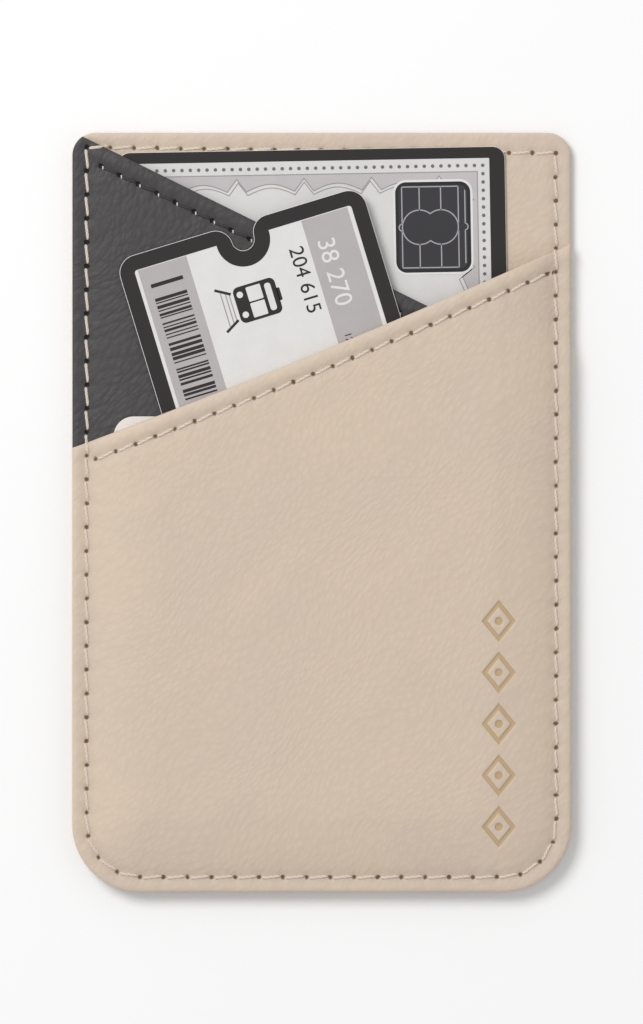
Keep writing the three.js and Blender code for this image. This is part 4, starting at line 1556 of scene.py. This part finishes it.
class MakePlainSheets(bpy.types.Operator):
    """Gives the stiffening card, the liner and the adhesive sheet their finish"""

    bl_idname = "card_pocket.make_plain_sheets"
    bl_label = "Plain sheets"

    def execute(self, context):
        sizes = settings("card_sizes")
        colours = settings("pocket_colours")
        low, high = node_box("stiffening_card")
        place = Place((low[0], high[1]), 0.0, float(high[2]))
        width, height = high[0] - low[0], high[1] - low[1]

        def outline_at(inset):
            return rounded(inset, inset, width - inset, height - inset, sizes.stiffener_corner - inset)

        board = paper_finish("stiffener_board", colours.board, 0.6)
        mesh = sheet_piece("stiffener_sheet", outline_at, place, low[2], high[2], 0.04, board)
        new_object("stiffener_sheet", mesh, "stiffening_card")
        plain_nodes = (("release_liner", colours.liner, 0.4), ("adhesive_pad", colours.adhesive, 0.5))
        for node, shown, rough in plain_nodes:
            finish = paper_finish(node + "_finish", shown, rough)
            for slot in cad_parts[node].material_slots:
                slot.material = finish
        return {"FINISHED"}


class MakeStage(bpy.types.Operator):
    """Makes the floor, the lamp, the sky and the camera"""

    bl_idname = "card_pocket.make_stage"
    bl_label = "Stage"

    def execute(self, context):
        stage = settings("stage_settings")
        scene = context.scene
        scene.view_settings.view_transform = "Standard"

        finish = Finish("floor")
        clouds = finish.noise(finish.place(), 0.02, 2.0)
        base = finish.blend(clouds, shade(stage.floor, 0.985), shade(stage.floor, 1.0))
        finish.surface(Base_Color=base, Roughness=0.9, Specular_IOR_Level=0.1)
        half, level = 3000, -0.02
        corners = [(-half, -half, level), (half, -half, level), (half, half, level), (-half, half, level)]
        mesh = mesh_of("floor", corners, [(0, 1, 2, 3)], finish.material, False)
        floor = bpy.data.objects.new("floor", mesh)
        scene.collection.objects.link(floor)

        world = bpy.data.worlds.new("sky")
        world.use_nodes = True
        sky = world.node_tree.nodes["Background"]
        sky.inputs["Color"].default_value = (1, 1, 1, 1)
        sky.inputs["Strength"].default_value = stage.world
        scene.world = world

        lamp = bpy.data.lights.new("key_lamp", "AREA")
        lamp.shape = "DISK"
        lamp.size = 0.5
        lamp.energy = stage.key
        key = bpy.data.objects.new("key_lamp", lamp)
        key.location = (-0.45, 0.45, 0.82)
        key.rotation_euler = (-key.location).to_track_quat("-Z", "Y").to_euler()
        scene.collection.objects.link(key)

        camera = bpy.data.cameras.new("camera")
        camera.sensor_fit = "VERTICAL"
        camera.sensor_height = 24
        away = 1.2
        camera.lens = camera.sensor_height * away / (2 * HALF_HEIGHT * MM / stage.share)
        camera.clip_end = 20
        eye = bpy.data.objects.new("camera", camera)
        eye.location = (0, 0, away)
        scene.collection.objects.link(eye)
        scene.camera = eye
        return {"FINISHED"}


OPERATORS = (MakeStage, MakeLeather, MakeThread, MakeBankCard, MakeChip, MakeTicket, MakePlainSheets)


class CardPocketPanel(bpy.types.Panel):
    """Lists what can be made"""

    bl_idname = "VIEW3D_PT_card_pocket"
    bl_label = "Card pocket"
    bl_space_type = "VIEW_3D"
    bl_region_type = "UI"
    bl_category = "Card pocket"

    def draw(self, context):
        for operator in OPERATORS:
            self.layout.operator(operator.bl_idname)
        for name in GROUPS:
            group = getattr(context.scene, name)
            box = self.layout.box()
            for key in group.bl_rna.properties.keys():
                if key not in {"rna_type", "name"}:
                    box.prop(group, key)


CLASSES = (*GROUPS.values(), *OPERATORS, CardPocketPanel)


def register():
    for cls in CLASSES:
        bpy.utils.register_class(cls)
    for name, group in GROUPS.items():
        setattr(bpy.types.Scene, name, PointerProperty(type=group))


def unregister():
    for name in GROUPS:
        delattr(bpy.types.Scene, name)
    for cls in reversed(CLASSES):
        bpy.utils.unregister_class(cls)


def main():
    register()
    bpy.ops.card_pocket.make_stage()
    bpy.ops.card_pocket.make_leather()
    bpy.ops.card_pocket.make_thread()
    bpy.ops.card_pocket.make_bank_card()
    bpy.ops.card_pocket.make_chip()
    bpy.ops.card_pocket.make_ticket()
    bpy.ops.card_pocket.make_plain_sheets()


if __name__ == "__main__":
    main()
